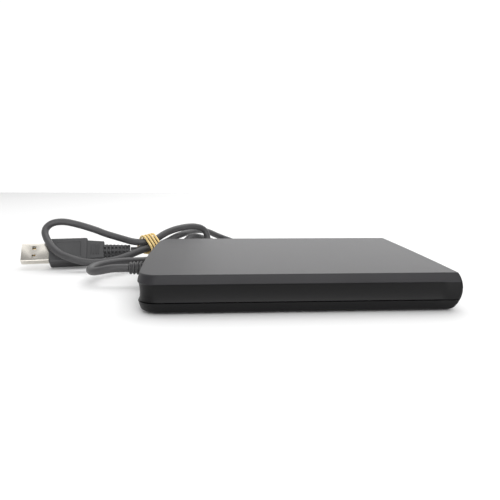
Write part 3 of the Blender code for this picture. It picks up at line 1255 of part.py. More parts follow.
def make_lead():
    start = (-CASE_LENGTH / 2 + wall_inset(CASE_HEIGHT, SIDE_WALL_RADIUS) + CASE_WALL + FIT_GAP
             + RELIEF_FLANGE_THICKNESS + FIT_GAP)
    socket_side = SOCKET_Y + SOCKET_WIDTH / 2 + FIT_GAP
    socket_height = BOARD_LOW + BOARD_SHEET + FIT_GAP + SOCKET_HEIGHT / 2
    first = (start + LEAD_DIAMETER, 0.0, CORD_HEIGHT)
    last = (SOCKET_X, socket_side + LEAD_DIAMETER, socket_height)
    points = smooth_route((first,) + LEAD_ROUTE + (last,), LEAD_STEP)
    points = [Vector((start, 0.0, CORD_HEIGHT))] + points + [Vector((SOCKET_X, socket_side, socket_height))]
    return tube("cord_lead", points, LEAD_DIAMETER / 2, cord_rubber(), 1)


def smooth_route(places, step):
    """evenly spaced points on one smooth curve through the places"""
    places = [Vector(place) for place in places]
    padded = [2 * places[0] - places[1]] + places + [2 * places[-1] - places[-2]]
    fine = []
    parts = 24
    for a, b, c, d in zip(padded, padded[1:], padded[2:], padded[3:]):
        for index in range(parts):
            t = index / parts
            fine.append(0.5 * (2 * b + (c - a) * t + (2 * a - 5 * b + 4 * c - d) * t ** 2
                               + (3 * b - a - 3 * c + d) * t ** 3))
    fine.append(places[-1])
    run = [0.0]
    for near, far in zip(fine, fine[1:]):
        run.append(run[-1] + (far - near).length)
    count = max(2, round(run[-1] / step))
    points = []
    index = 0
    for number in range(count + 1):
        want = run[-1] * number / count
        while index < len(run) - 2 and run[index + 1] < want:
            index += 1
        share = (want - run[index]) / (run[index + 1] - run[index])
        points.append(fine[index].lerp(fine[index + 1], min(1.0, share)))
    return points


def plug_frame():
    """x from the shell's tip towards the cord, y across the broad face, z out of it"""
    along = Vector(PLUG_HEADING).normalized()
    level = Vector((0.0, 0.0, 1.0)).cross(along).normalized()
    rise = along.cross(level)
    across = level * math.cos(PLUG_ROLL) + rise * math.sin(PLUG_ROLL)
    out = along.cross(across)
    turn = Matrix((along, across, out)).transposed().to_4x4()
    return Matrix.Translation(PLUG_TIP) @ turn


def rounded_bar(name, start, end, width, height, corner, surface, segments=2):
    """a bar along x with its four long edges rounded"""
    outline = []
    for index, (side_y, side_z) in enumerate(((1, 1), (-1, 1), (-1, -1), (1, -1))):
        centre_y = side_y * (width / 2 - corner)
        centre_z = side_z * (height / 2 - corner)
        for step in range(segments + 1):
            angle = math.pi / 2 * (index + step / segments)
            outline.append((centre_y + corner * math.cos(angle), centre_z + corner * math.sin(angle)))
    rings = [[(x, y, z) for y, z in outline] for x in (start, end)]
    return loft(name, rings, surface)


def make_plug():
    frame = plug_frame()
    surface = cord_rubber()
    shell = rounded_bar("plug_shell", 0.0, SHELL_LENGTH, SHELL_WIDTH, SHELL_HEIGHT, SHELL_CORNER, plug_steel())
    hollow = rounded_bar("hollow", -OVERRUN, SHELL_LENGTH + OVERRUN, SHELL_WIDTH - 2 * SHELL_WALL,
                         SHELL_HEIGHT - 2 * SHELL_WALL, SHELL_CORNER / 2, plug_steel())
    windows = []
    for side in (-1, 1):
        middle = side * SHELL_WINDOW_OFFSET
        half = SHELL_WINDOW / 2
        windows.append(box("window", (SHELL_WINDOW_FROM_TIP - half, middle - half, -SHELL_HEIGHT),
                           (SHELL_WINDOW_FROM_TIP + half, middle + half, SHELL_HEIGHT), plug_steel()))
    cut(shell, hollow, *windows)
    inner_high = SHELL_HEIGHT / 2 - SHELL_WALL
    tongue = box("plug_tongue", (TONGUE_SET_BACK, -TONGUE_WIDTH / 2, FIT_GAP - inner_high),
                 (SHELL_LENGTH, TONGUE_WIDTH / 2, FIT_GAP - inner_high + TONGUE_HEIGHT), white_plastic())
    body_start = SHELL_LENGTH + FIT_GAP
    body_end = SHELL_LENGTH + BODY_LENGTH
    grip_end = body_end + GRIP_LENGTH
    boot_end = grip_end + BOOT_LENGTH
    body = rounded_bar("plug_body", body_start, body_end, BODY_WIDTH, BODY_HEIGHT, BODY_CORNER, surface, 3)
    panel_start = body_start + (BODY_LENGTH - PANEL_LENGTH) * 2 / 3
    for side in (-1, 1):
        low = side * (BODY_HEIGHT / 2 - PANEL_DEPTH)
        high = side * (BODY_HEIGHT / 2 + OVERRUN)
        cut(body, box("panel", (panel_start, -PANEL_WIDTH / 2, min(low, high)),
                      (panel_start + PANEL_LENGTH, PANEL_WIDTH / 2, max(low, high)), surface))
    grip = rounded_bar("grip", body_end - BODY_CORNER, grip_end, GRIP_WIDTH, GRIP_HEIGHT, BODY_CORNER,
                       surface, 3)
    for index in range(GRIP_GROOVES):
        x = body_end + GRIP_PITCH * (index + 1)
        for side in (-1, 1):
            low = side * (GRIP_HEIGHT / 2 - GRIP_GROOVE_DEPTH)
            high = side * (GRIP_HEIGHT / 2 + OVERRUN)
            cut(grip, box("groove", (x, -GRIP_WIDTH / 3, min(low, high)),
                          (x + GRIP_GROOVE_WIDTH, GRIP_WIDTH / 3, max(low, high)), surface))
    pitch = BOOT_LENGTH / BOOT_RIBS
    profile = [(grip_end - BODY_CORNER, BOOT_GROOVE_RADIUS)]
    for index in range(BOOT_RIBS):
        start = grip_end + pitch * index
        crown = BOOT_RADIUS + (BOOT_TIP_RADIUS - BOOT_RADIUS) * index / BOOT_RIBS
        rib_start = start + pitch * (1 - BOOT_RIB_WIDTH_SHARE)
        profile += [(rib_start, BOOT_GROOVE_RADIUS), (rib_start, crown), (start + pitch, crown)]
        if index < BOOT_RIBS - 1:
            profile.append((start + pitch, BOOT_GROOVE_RADIUS))
    boot = turned("boot", (0.0, 0.0, 0.0), (1.0, 0.0, 0.0), profile, surface, 20)
    join(body, grip, boot)
    smooth(body)
    for piece in (shell, tongue, body):
        piece.matrix_world = frame
    return boot_end


def make_cord(boot_end):
    frame = plug_frame()
    exit_place = (RELIEF_END - FIT_GAP, 0.0, CORD_HEIGHT)
    exit_run = (RELIEF_END - FIT_GAP - CORD_DIAMETER, 0.0, CORD_HEIGHT)
    plug_run = frame @ Vector((boot_end + FIT_GAP + CORD_DIAMETER, 0.0, 0.0))
    plug_place = frame @ Vector((boot_end + FIT_GAP, 0.0, 0.0))
    points = smooth_route((exit_run,) + CORD_ROUTE + (plug_run,), CORD_STEP)
    points = [Vector(exit_place)] + points + [plug_place]
    length = sum((far - near).length for near, far in zip(points, points[1:]))
    gap = least_gap(points, CORD_DIAMETER, 3 * CORD_DIAMETER)
    print(f"usb_cord: {len(points)} points, {length:.4f} m long, least gap to itself {gap * 1000:.2f} mm")
    if gap < CORD_LEAST_GAP:
        print("usb_cord: the strands are too close together")
    tube("usb_cord", points, CORD_DIAMETER / 2, cord_rubber(), 2)


def make_band():
    """an elastic band wound round the three strands, along their common direction"""
    along = Vector(BAND_HEADING).normalized()
    side = Vector((0.0, 0.0, 1.0)).cross(along).normalized()
    rise = along.cross(side)
    strands = [Vector(strand) for strand in BAND_STRANDS]
    reach = CORD_DIAMETER / 2 + BAND_CLEARANCE + BAND_RADIUS
    count = BAND_TURNS * LOOP_POINTS
    points = []
    for index in range(count + 1):
        angle = math.tau * index / LOOP_POINTS
        outward = Vector((math.cos(angle), math.sin(angle)))
        strand = max(strands, key=outward.dot)
        spot = strand + outward * reach
        travel = BAND_PITCH * BAND_TURNS * (index / count - 0.5)
        points.append(Vector(BAND_PLACE) + along * travel + side * spot.x + rise * spot.y)
    gap = least_gap(points, 2 * BAND_RADIUS, 6 * BAND_RADIUS)
    print(f"cable_band: {BAND_TURNS} turns, least gap to itself {gap * 1000:.2f} mm")
    tube("cable_band", points, BAND_RADIUS, band_rubber(), 1)


clear_scene()
make_top_cover()
make_bottom_cover()
make_feet()
make_case_screws()
make_bezel()
make_door()
make_door_spring()
make_button()
make_lamp()
make_chassis()
make_shield()
make_cage()
make_slide()
make_slide_springs()
make_latch()
make_spindle()
make_carriage()
make_stepper()
make_boards()
make_relief()
make_lead()
make_cord(make_plug())
make_band()
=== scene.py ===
"""Looks of an external floppy disk drive with its captive cord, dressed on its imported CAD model.

Lengths are in metres and colours are linear. The drive lies on its feet with the disk slot at +X, the
cord at -X, and the camera on its -Y side.
"""

import math

import bmesh
import bpy
from mathutils import Matrix, Vector


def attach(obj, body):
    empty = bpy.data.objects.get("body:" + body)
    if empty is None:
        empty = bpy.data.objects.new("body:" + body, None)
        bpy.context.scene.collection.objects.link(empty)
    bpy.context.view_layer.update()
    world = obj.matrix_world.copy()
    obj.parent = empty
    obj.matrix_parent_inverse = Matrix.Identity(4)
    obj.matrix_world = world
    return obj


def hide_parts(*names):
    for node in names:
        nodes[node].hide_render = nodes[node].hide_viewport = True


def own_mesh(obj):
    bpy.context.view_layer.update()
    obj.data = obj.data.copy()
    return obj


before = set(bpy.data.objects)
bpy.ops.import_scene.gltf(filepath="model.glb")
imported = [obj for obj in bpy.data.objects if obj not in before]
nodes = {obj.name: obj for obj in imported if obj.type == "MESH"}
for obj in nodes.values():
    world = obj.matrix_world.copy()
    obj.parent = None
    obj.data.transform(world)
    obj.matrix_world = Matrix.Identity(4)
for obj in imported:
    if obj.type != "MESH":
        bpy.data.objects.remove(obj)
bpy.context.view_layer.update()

# The photographer stood low in front of the drive's long side, a little to the left of its middle, and
# looked slightly down on it with the lens of a telephone.
EYE = (-0.036865, -0.25965, 0.064307)
EYE_TURN = 0.0700
EYE_DIP = 0.1722
EYE_ROLL = 0.006
EYE_SENSOR = 36.0
EYE_FOCUS = 1.01796 * EYE_SENSOR

bpy.ops.object.camera_add(location=EYE)
camera = bpy.context.object
camera.name = "photographer"
camera.data.sensor_fit = "HORIZONTAL"
camera.data.sensor_width = EYE_SENSOR
camera.data.lens = EYE_FOCUS
camera.data.clip_start = 0.01
camera.rotation_mode = "QUATERNION"
camera.rotation_quaternion = (
    Matrix.Rotation(-EYE_TURN, 3, "Z")
    @ Matrix.Rotation(math.pi / 2 - EYE_DIP, 3, "X")
    @ Matrix.Rotation(EYE_ROLL, 3, "Z")
).to_quaternion()
bpy.context.scene.camera = camera

# A light tent on a bright bench: the sky is white behind and above the drive and dim on the
# photographer's side, one large soft lamp hangs overhead, one stands behind the photographer and a
# weaker one behind the drive rims the cord. The picture keeps a telephone's plain contrast.
SKY_BRIGHT = 1.05
SKY_DIM = 0.32
SKY_TURN_SHARES = (0.42, 0.62)
LAMP_SIZE = 0.9
OVERHEAD_PLACE = (0.05, 0.10, 0.75)
OVERHEAD_POWER = 3.0
FRONT_PLACE = (0.12, -0.85, 0.42)
FRONT_POWER = 7.0
RIM_PLACE = (0.30, 0.85, 0.45)
RIM_POWER = 2.2

bpy.context.scene.view_settings.view_transform = "Standard"
sky = bpy.data.worlds.new("light_tent")
sky.use_nodes = True
sky_tree = sky.node_tree
sky_way = sky_tree.nodes.new("ShaderNodeTexCoord")
sky_split = sky_tree.nodes.new("ShaderNodeSeparateXYZ")
sky_share = sky_tree.nodes.new("ShaderNodeMapRange")
sky_share.interpolation_type = "SMOOTHSTEP"
sky_share.inputs["From Min"].default_value = 2 * SKY_TURN_SHARES[0] - 1
sky_share.inputs["From Max"].default_value = 2 * SKY_TURN_SHARES[1] - 1
sky_share.inputs["To Min"].default_value = SKY_DIM
sky_share.inputs["To Max"].default_value = SKY_BRIGHT
sky_tree.links.new(sky_way.outputs["Generated"], sky_split.inputs["Vector"])
sky_tree.links.new(sky_split.outputs["Y"], sky_share.inputs["Value"])
sky_tree.links.new(sky_share.outputs["Result"], sky_tree.nodes["Background"].inputs["Strength"])
sky_tree.nodes["Background"].inputs["Color"].default_value = (1.0, 1.0, 1.0, 1.0)
bpy.context.scene.world = sky


def soft_lamp(name, place, power):
    """a square soft lamp that looks at the middle of the table"""
    bpy.ops.object.light_add(type="AREA", location=place)
    lamp = bpy.context.object
    lamp.name = name
    lamp.data.size = LAMP_SIZE
    lamp.data.energy = power
    lamp.rotation_mode = "QUATERNION"
    lamp.rotation_quaternion = (-Vector(place)).to_track_quat("-Z", "Y")


soft_lamp("overhead", OVERHEAD_PLACE, OVERHEAD_POWER)
soft_lamp("front", FRONT_PLACE, FRONT_POWER)
soft_lamp("rim", RIM_PLACE, RIM_POWER)

# The table is a sheet of matt white paper.
TABLE_SIZE = 1.6
TABLE_DROP = 0.00002
PAPER_WHITE = (0.86, 0.86, 0.86)
PAPER_ROUGHNESS = 0.9


def finish(name, roughness, metallic=0.0):
    """a new node material and its Principled shader, with the values that are the same all over"""
    material = bpy.data.materials.new(name)
    material.use_nodes = True
    shader = material.node_tree.nodes["Principled BSDF"]
    shader.inputs["Roughness"].default_value = roughness
    shader.inputs["Metallic"].default_value = metallic
    return material, shader


paper, paper_shader = finish("table_paper", PAPER_ROUGHNESS)
paper_shader.inputs["Base Color"].default_value = (*PAPER_WHITE, 1.0)
bpy.ops.object.select_all(action="DESELECT")
bpy.ops.mesh.primitive_plane_add(size=TABLE_SIZE, location=(0.0, 0.0, -TABLE_DROP))
table = bpy.context.object
table.name = "table"
table.data.materials.append(paper)

# The cord is one round lead 4.2 mm thick, with a satin dark grey jacket of soft vinyl. It leaves the
# rear wall, turns back on itself and is gathered in two flat loops, so three strands lie side by side
# in the band. The route's places are the ones that the solid follows.
CORD_DIAMETER = 0.0042
CORD_ROUTE = (
    (-0.0905, 0.0001, 0.0097), (-0.0957, 0.0008, 0.0086), (-0.1000, 0.0034, 0.0077),
    (-0.1024, 0.0078, 0.0074), (-0.1031, 0.0132, 0.0073), (-0.1022, 0.0190, 0.0073),
    (-0.0990, 0.0246, 0.0073), (-0.0942, 0.0296, 0.0072), (-0.0888, 0.0344, 0.0069),
    (-0.0836, 0.0398, 0.0060), (-0.0786, 0.0460, 0.0050), (-0.0734, 0.0524, 0.0044),
    (-0.0676, 0.0588, 0.0046), (-0.0620, 0.0656, 0.0066), (-0.0576, 0.0728, 0.0104),
    (-0.0535, 0.0800, 0.0138), (-0.0494, 0.0870, 0.0135), (-0.0448, 0.0934, 0.0113),
    (-0.0396, 0.0986, 0.0086), (-0.0334, 0.1024, 0.0062), (-0.0268, 0.1056, 0.0046),
    (-0.0216, 0.1104, 0.0038), (-0.0204, 0.1170, 0.0038), (-0.0242, 0.1224, 0.0048),
    (-0.0306, 0.1236, 0.0070), (-0.0362, 0.1200, 0.0098), (-0.0410, 0.1156, 0.0126),
    (-0.0456, 0.1094, 0.0146), (-0.0500, 0.1018, 0.0157), (-0.0542, 0.0926, 0.0163),
    (-0.0578, 0.0838, 0.0160), (-0.0622, 0.0752, 0.0153), (-0.0668, 0.0674, 0.0136),
    (-0.0712, 0.0607, 0.0124), (-0.0752, 0.0571, 0.0117), (-0.0796, 0.0540, 0.0108),
    (-0.0838, 0.0508, 0.0096), (-0.0884, 0.0474, 0.0081), (-0.0936, 0.0438, 0.0067),
    (-0.0988, 0.0411, 0.0058), (-0.1042, 0.0393, 0.0054), (-0.1097, 0.0384, 0.0056),
    (-0.1153, 0.0384, 0.0064), (-0.1212, 0.0396, 0.0080), (-0.1271, 0.0420, 0.0098),
    (-0.1324, 0.0456, 0.0127), (-0.1363, 0.0496, 0.0160), (-0.1388, 0.0530, 0.0188),
    (-0.1400, 0.0556, 0.0213), (-0.1397, 0.0580, 0.0236), (-0.1374, 0.0600, 0.0257),
    (-0.1337, 0.0611, 0.0267), (-0.1290, 0.0617, 0.0266), (-0.1243, 0.0620, 0.0256),
    (-0.1195, 0.0620, 0.0243), (-0.1147, 0.0619, 0.0228), (-0.1098, 0.0617, 0.0211),
    (-0.1050, 0.0611, 0.0193), (-0.0951, 0.0600, 0.0164), (-0.0876, 0.0574, 0.0148),
    (-0.0813, 0.0571, 0.0144), (-0.0776, 0.0602, 0.0149), (-0.0736, 0.0636, 0.0157),
    (-0.0690, 0.0680, 0.0182), (-0.0640, 0.0720, 0.0200), (-0.0590, 0.0764, 0.0209),
    (-0.0544, 0.0812, 0.0211), (-0.0502, 0.0852, 0.0206), (-0.0460, 0.0880, 0.0192),
    (-0.0432, 0.0886, 0.0166), (-0.0420, 0.0874, 0.0132), (-0.0418, 0.0844, 0.0096),
    (-0.0430, 0.0802, 0.0062), (-0.0464, 0.0762, 0.0037), (-0.0514, 0.0738, 0.0026),
    (-0.0572, 0.0728, 0.0028), (-0.0628, 0.0722, 0.0044), (-0.0680, 0.0708, 0.0074),
    (-0.0724, 0.0688, 0.0101), (-0.0762, 0.0662, 0.0112), (-0.0800, 0.0633, 0.0107),
)
CORD_EXIT = (-0.0809, 0.0, 0.0100)
CORD_STEP = 0.00155
CORD_ROUNDNESS = 8
JACKET_FINISH = dict(dark=(0.042, 0.041, 0.043), pale=(0.062, 0.061, 0.063), roughness=0.46,
                     grain=900.0, height=0.00004)


def speckled(name, dark, pale, roughness, grain, height, metallic=0.0, cloud=60.0, sheen=0.5):
    """a finish whose colour drifts a little between two tones, with a fine grain on its surface"""
    material, shader = finish(name, roughness, metallic)
    shader.inputs["Specular IOR Level"].default_value = sheen
    tree = material.node_tree
    place = tree.nodes.new("ShaderNodeTexCoord")
    drift = tree.nodes.new("ShaderNodeTexNoise")
    drift.inputs["Scale"].default_value = cloud
    drift.inputs["Detail"].default_value = 4.0
    tones = tree.nodes.new("ShaderNodeMix")
    tones.data_type = "RGBA"
    tones.inputs["A"].default_value = (*dark, 1.0)
    tones.inputs["B"].default_value = (*pale, 1.0)
    fine = tree.nodes.new("ShaderNodeTexNoise")
    fine.inputs["Scale"].default_value = grain
    fine.inputs["Detail"].default_value = 2.0
    bump = tree.nodes.new("ShaderNodeBump")
    bump.inputs["Distance"].default_value = height
    tree.links.new(place.outputs["Object"], drift.inputs["Vector"])
    tree.links.new(place.outputs["Object"], fine.inputs["Vector"])
    tree.links.new(drift.outputs["Fac"], tones.inputs["Factor"])
    tree.links.new(tones.outputs["Result"], shader.inputs["Base Color"])
    tree.links.new(fine.outputs["Fac"], bump.inputs["Height"])
    tree.links.new(bump.outputs["Normal"], shader.inputs["Normal"])
    return material


jacket = speckled("cord_jacket", **JACKET_FINISH)


def smooth_route(places, step):
    """evenly spaced points on one smooth curve through the places"""
    places = [Vector(place) for place in places]
    padded = [2 * places[0] - places[1]] + places + [2 * places[-1] - places[-2]]
    fine = []
    parts = 24
    for a, b, c, d in zip(padded, padded[1:], padded[2:], padded[3:]):
        for index in range(parts):
            t = index / parts
            fine.append(0.5 * (2 * b + (c - a) * t + (2 * a - 5 * b + 4 * c - d) * t ** 2
                               + (3 * b - a - 3 * c + d) * t ** 3))
    fine.append(places[-1])
    run = [0.0]
    for near, far in zip(fine, fine[1:]):
        run.append(run[-1] + (far - near).length)
    count = max(2, round(run[-1] / step))
    points = []
    index = 0
    for number in range(count + 1):
        want = run[-1] * number / count
        while index < len(run) - 2 and run[index + 1] < want:
            index += 1
        share = (want - run[index]) / (run[index + 1] - run[index])
        points.append(fine[index].lerp(fine[index + 1], min(1.0, share)))
    return points


def tube(name, points, radius, roundness, material):
    """a round tube along the points, with closed ends"""
    line = bpy.data.curves.new(name, "CURVE")
    line.dimensions = "3D"
    line.bevel_depth = radius
    line.bevel_resolution = roundness
    line.use_fill_caps = True
    line.materials.append(material)
    spline = line.splines.new("POLY")
    spline.points.add(len(points) - 1)
    for spot, point in zip(spline.points, points):
        spot.co = (*point, 1.0)
    piece = bpy.data.objects.new(name, line)
    bpy.context.collection.objects.link(piece)
    return piece


# The plug's own line runs from the shell's open end to the cord. It lies on the table rolled over by
# fifty degrees, with its broad face towards the camera.
PLUG_TIP = (-0.1526, 0.0502, 0.0085)
PLUG_HEADING = (0.0636, 0.0085, 0.0005)
PLUG_ROLL = math.radians(50)
FIT_GAP = 0.0003
SHELL_LENGTH = 0.0158
BODY_LENGTH = 0.0224
GRIP_LENGTH = 0.0098
BOOT_LENGTH = 0.0156

plug_along = Vector(PLUG_HEADING).normalized()
plug_level = Vector((0.0, 0.0, 1.0)).cross(plug_along).normalized()
plug_across = (plug_level * math.cos(PLUG_ROLL)
               + plug_along.cross(plug_level) * math.sin(PLUG_ROLL))
plug_place = (Matrix.Translation(PLUG_TIP)
              @ Matrix((plug_along, plug_across, plug_along.cross(plug_across))).transposed().to_4x4())
boot_end = SHELL_LENGTH + BODY_LENGTH + GRIP_LENGTH + BOOT_LENGTH
cord_finish = plug_place @ Vector((boot_end + FIT_GAP, 0.0, 0.0))
cord_last_run = plug_place @ Vector((boot_end + FIT_GAP + CORD_DIAMETER, 0.0, 0.0))
cord_first_run = (CORD_EXIT[0] - CORD_DIAMETER, CORD_EXIT[1], CORD_EXIT[2])

cord_points = smooth_route((cord_first_run,) + CORD_ROUTE + (cord_last_run,), CORD_STEP)
cord_points = [Vector(CORD_EXIT)] + cord_points + [cord_finish]
cord = tube("cord", cord_points, CORD_DIAMETER / 2, CORD_ROUNDNESS, jacket)
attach(cord, "case")
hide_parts("usb_cord")

# The strain relief is moulded in soft vinyl: a plug of it grips the rear wall, and outside the wall it
# tapers in four ribs that let the lead bend.
RELIEF_SIDES = 48
RELIEF_COLLAR_RADIUS = 0.0036
RELIEF_RIB_RADIUS = 0.0035
RELIEF_TIP_RADIUS = 0.0026
RELIEF_GROOVE_RADIUS = 0.0027
RELIEF_NECK_RADIUS = 0.0026
RELIEF_FLANGE_RADIUS = 0.0042
RELIEF_FLANGE = 0.0012
RELIEF_WALL_INSIDE = 0.06875
RELIEF_COLLAR_START = 0.07205
RELIEF_END = 0.0806
RELIEF_RIBS = 4
RELIEF_RIB_SHARE = 0.62
RELIEF_EDGE = 0.0003
RELIEF_STEP = RELIEF_EDGE / 9


def drawn_up(name, stations, sides):
    """a round piece drawn up its own Z from a disc, through stations of (height, radius)"""
    bpy.ops.object.select_all(action="DESELECT")
    bpy.ops.mesh.primitive_circle_add(vertices=sides, radius=stations[0][1], fill_type="NGON",
                                      location=(0.0, 0.0, stations[0][0]))
    piece = bpy.context.object
    piece.name = name
    bpy.ops.object.transform_apply(location=True)
    bpy.ops.object.mode_set(mode="EDIT")
    bpy.ops.mesh.select_all(action="SELECT")
    for (low, wide), (high, narrow) in zip(stations, stations[1:]):
        bpy.ops.mesh.extrude_region_move(TRANSFORM_OT_translate={"value": (0.0, 0.0, high - low)})
        bpy.ops.transform.resize(value=(narrow / wide, narrow / wide, 1.0),
                                 center_override=(0.0, 0.0, high))
    bpy.ops.mesh.select_all(action="SELECT")
    bpy.ops.mesh.normals_make_consistent(inside=False)
    bpy.ops.object.mode_set(mode="OBJECT")
    return piece


def settle(piece, place, material, body, replaced=(), sharp=40.0):
    """the finished piece goes to its place, its place goes into its mesh, and it rides on its body"""
    piece.data.transform(place)
    if place.determinant() < 0:
        piece.data.flip_normals()
    piece.data.materials.clear()
    piece.data.materials.append(material)
    piece.data.shade_smooth()
    piece.data.set_sharp_from_angle(angle=math.radians(sharp))
    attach(piece, body)
    if replaced:
        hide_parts(*replaced)
    return piece


def ribbed(start, end, count, share, valley, first, last, edge):
    """stations of a ribbed sleeve whose ribs' corners are eased"""
    pitch = (end - start) / count
    stations = []
    for index in range(count):
        low = start + pitch * index
        rib = low + pitch * (1.0 - share)
        crown = first + (last - first) * index / count
        stations += [(low + edge, valley), (rib - edge / 2, valley), (rib, valley + edge / 2),
                     (rib + edge / 4, crown - edge), (rib + edge, crown),
                     (low + pitch - edge, crown), (low + pitch - edge / 4, crown - edge)]
        if index < count - 1:
            stations.append((low + pitch, valley + edge / 2))
    return stations


relief = drawn_up(
    "strain_relief",
    [(RELIEF_WALL_INSIDE - RELIEF_FLANGE, RELIEF_FLANGE_RADIUS),
     (RELIEF_WALL_INSIDE, RELIEF_FLANGE_RADIUS),
     (RELIEF_WALL_INSIDE + RELIEF_STEP, RELIEF_NECK_RADIUS),
     (RELIEF_COLLAR_START, RELIEF_NECK_RADIUS),
     (RELIEF_COLLAR_START + RELIEF_STEP, RELIEF_COLLAR_RADIUS - RELIEF_EDGE),
     (RELIEF_COLLAR_START + RELIEF_EDGE, RELIEF_COLLAR_RADIUS),
     (RELIEF_COLLAR_START + RELIEF_FLANGE - RELIEF_EDGE, RELIEF_COLLAR_RADIUS),
     (RELIEF_COLLAR_START + RELIEF_FLANGE, RELIEF_COLLAR_RADIUS - RELIEF_EDGE)]
    + ribbed(RELIEF_COLLAR_START + RELIEF_FLANGE, RELIEF_END, RELIEF_RIBS, RELIEF_RIB_SHARE,
             RELIEF_GROOVE_RADIUS, RELIEF_RIB_RADIUS,
             (RELIEF_RIB_RADIUS + RELIEF_TIP_RADIUS) / 2, RELIEF_EDGE),
    RELIEF_SIDES)
relief_turn = Matrix.Translation((0.0, 0.0, CORD_EXIT[2])) @ Matrix.Rotation(-math.pi / 2, 4, "Y")
settle(relief, relief_turn, jacket, "case", ["cord_relief"])

# The plug is overmoulded in the cord's vinyl: a broad block with a shallow blank panel on each face, a
# narrower finger grip with four bars, and a bending sleeve of rings joined by rows of bridges.
BODY_WIDTH = 0.0164
BODY_HEIGHT = 0.0084
BODY_CORNER = 0.0012
PANEL_LENGTH = 0.0150
PANEL_WIDTH = 0.0110
PANEL_DEPTH = 0.0003
PANEL_CORNER = 0.0008
PANEL_EASE_ANGLE = 60.0
OVERRUN = 0.002
LOOKS_ALONG_X = 0.9
GRIP_WIDTH = 0.0132
GRIP_HEIGHT = 0.0072
GRIP_TAPER = (1.0, 0.86, 0.86)
GRIP_BARS = 4
GRIP_BAR_SEAT = 0.9
GRIP_FIRST_BAR = 1.2
GRIP_BAR_LENGTH = 0.0072
GRIP_BAR_WIDTH = 0.0006
GRIP_BAR_HEIGHT = 0.0003
GRIP_PITCH = 0.0015
BOOT_SIDES = 40
BOOT_RADIUS = 0.0043
BOOT_TIP_RADIUS = 0.0034
BOOT_CORE_RADIUS = 0.0028
BOOT_RINGS = 7
BOOT_RING_SHARE = 0.55
BOOT_EDGE = 0.0002
BOOT_BRIDGES = 8
BOOT_BRIDGE_WIDTH = 0.0015
MOULD_FINISH = dict(dark=(0.040, 0.040, 0.042), pale=(0.058, 0.058, 0.060), roughness=0.55,
                    grain=2600.0, height=0.00006)

mould = speckled("plug_mould", **MOULD_FINISH)


def block(name, low, high):
    """a block between two corners"""
    bpy.ops.object.select_all(action="DESELECT")
    middle = (Vector(low) + Vector(high)) / 2
    bpy.ops.mesh.primitive_cube_add(size=1.0, location=middle)
    piece = bpy.context.object
    piece.name = name
    piece.scale = Vector(high) - Vector(low)
    bpy.ops.object.transform_apply(location=True, scale=True)
    return piece


def pick(piece, kind, wanted):
    """goes into edit mode with only the wanted faces or edges of the piece selected"""
    bpy.context.view_layer.objects.active = piece
    bpy.ops.object.mode_set(mode="EDIT")
    bpy.ops.mesh.select_mode(type=kind)
    bpy.ops.mesh.select_all(action="DESELECT")
    bpy.ops.object.mode_set(mode="OBJECT")
    for item in piece.data.polygons if kind == "FACE" else piece.data.edges:
        item.select = wanted(item)
    bpy.ops.object.mode_set(mode="EDIT")


def draw_end_in(piece, side, shares, centre):
    """draws the end that looks to one side of X in to the shares of its size, about the centre"""
    pick(piece, "FACE", lambda face: side * face.normal.x > LOOKS_ALONG_X)
    bpy.ops.transform.resize(value=shares, center_override=centre)
    bpy.ops.object.mode_set(mode="OBJECT")


def work_in(piece, modifier):
    """works the modifier into the piece's mesh"""
    bpy.context.view_layer.objects.active = piece
    bpy.ops.object.modifier_apply(modifier=modifier.name)


def eased(piece, width, segments=3, angle=30.0):
    """eases every edge sharper than the angle"""
    ease = piece.modifiers.new("eased", "BEVEL")
    ease.width = width
    ease.segments = segments
    ease.limit_method = "ANGLE"
    ease.angle_limit = math.radians(angle)
    work_in(piece, ease)


def combine(piece, tools, operation="DIFFERENCE"):
    """cuts each tool out of the piece, or joins it on, and removes the tool"""
    for tool in tools:
        step = piece.modifiers.new("step", "BOOLEAN")
        step.operation = operation
        step.solver = "EXACT"
        step.object = tool
        work_in(piece, step)
        bpy.data.objects.remove(tool, do_unlink=True)


body_start = SHELL_LENGTH + FIT_GAP
body_end = SHELL_LENGTH + BODY_LENGTH
grip_end = body_end + GRIP_LENGTH
plug_block = block("plug_block", (body_start, -BODY_WIDTH / 2, -BODY_HEIGHT / 2),
                   (body_end, BODY_WIDTH / 2, BODY_HEIGHT / 2))
eased(plug_block, BODY_CORNER, 5)
panel_middle = (body_start + body_end) / 2
for side in (-1, 1):
    floor = BODY_HEIGHT / 2 - PANEL_DEPTH
    panel = block("panel", (panel_middle - PANEL_LENGTH / 2, -PANEL_WIDTH / 2, floor),
                  (panel_middle + PANEL_LENGTH / 2, PANEL_WIDTH / 2, floor + OVERRUN))
    eased(panel, PANEL_CORNER, segments=4, angle=PANEL_EASE_ANGLE)
    panel.data.transform(Matrix.Diagonal((1.0, 1.0, side, 1.0)))
    if side < 0:
        panel.data.flip_normals()
    combine(plug_block, [panel])
settle(plug_block, plug_place, mould, "case", ["plug_body"])

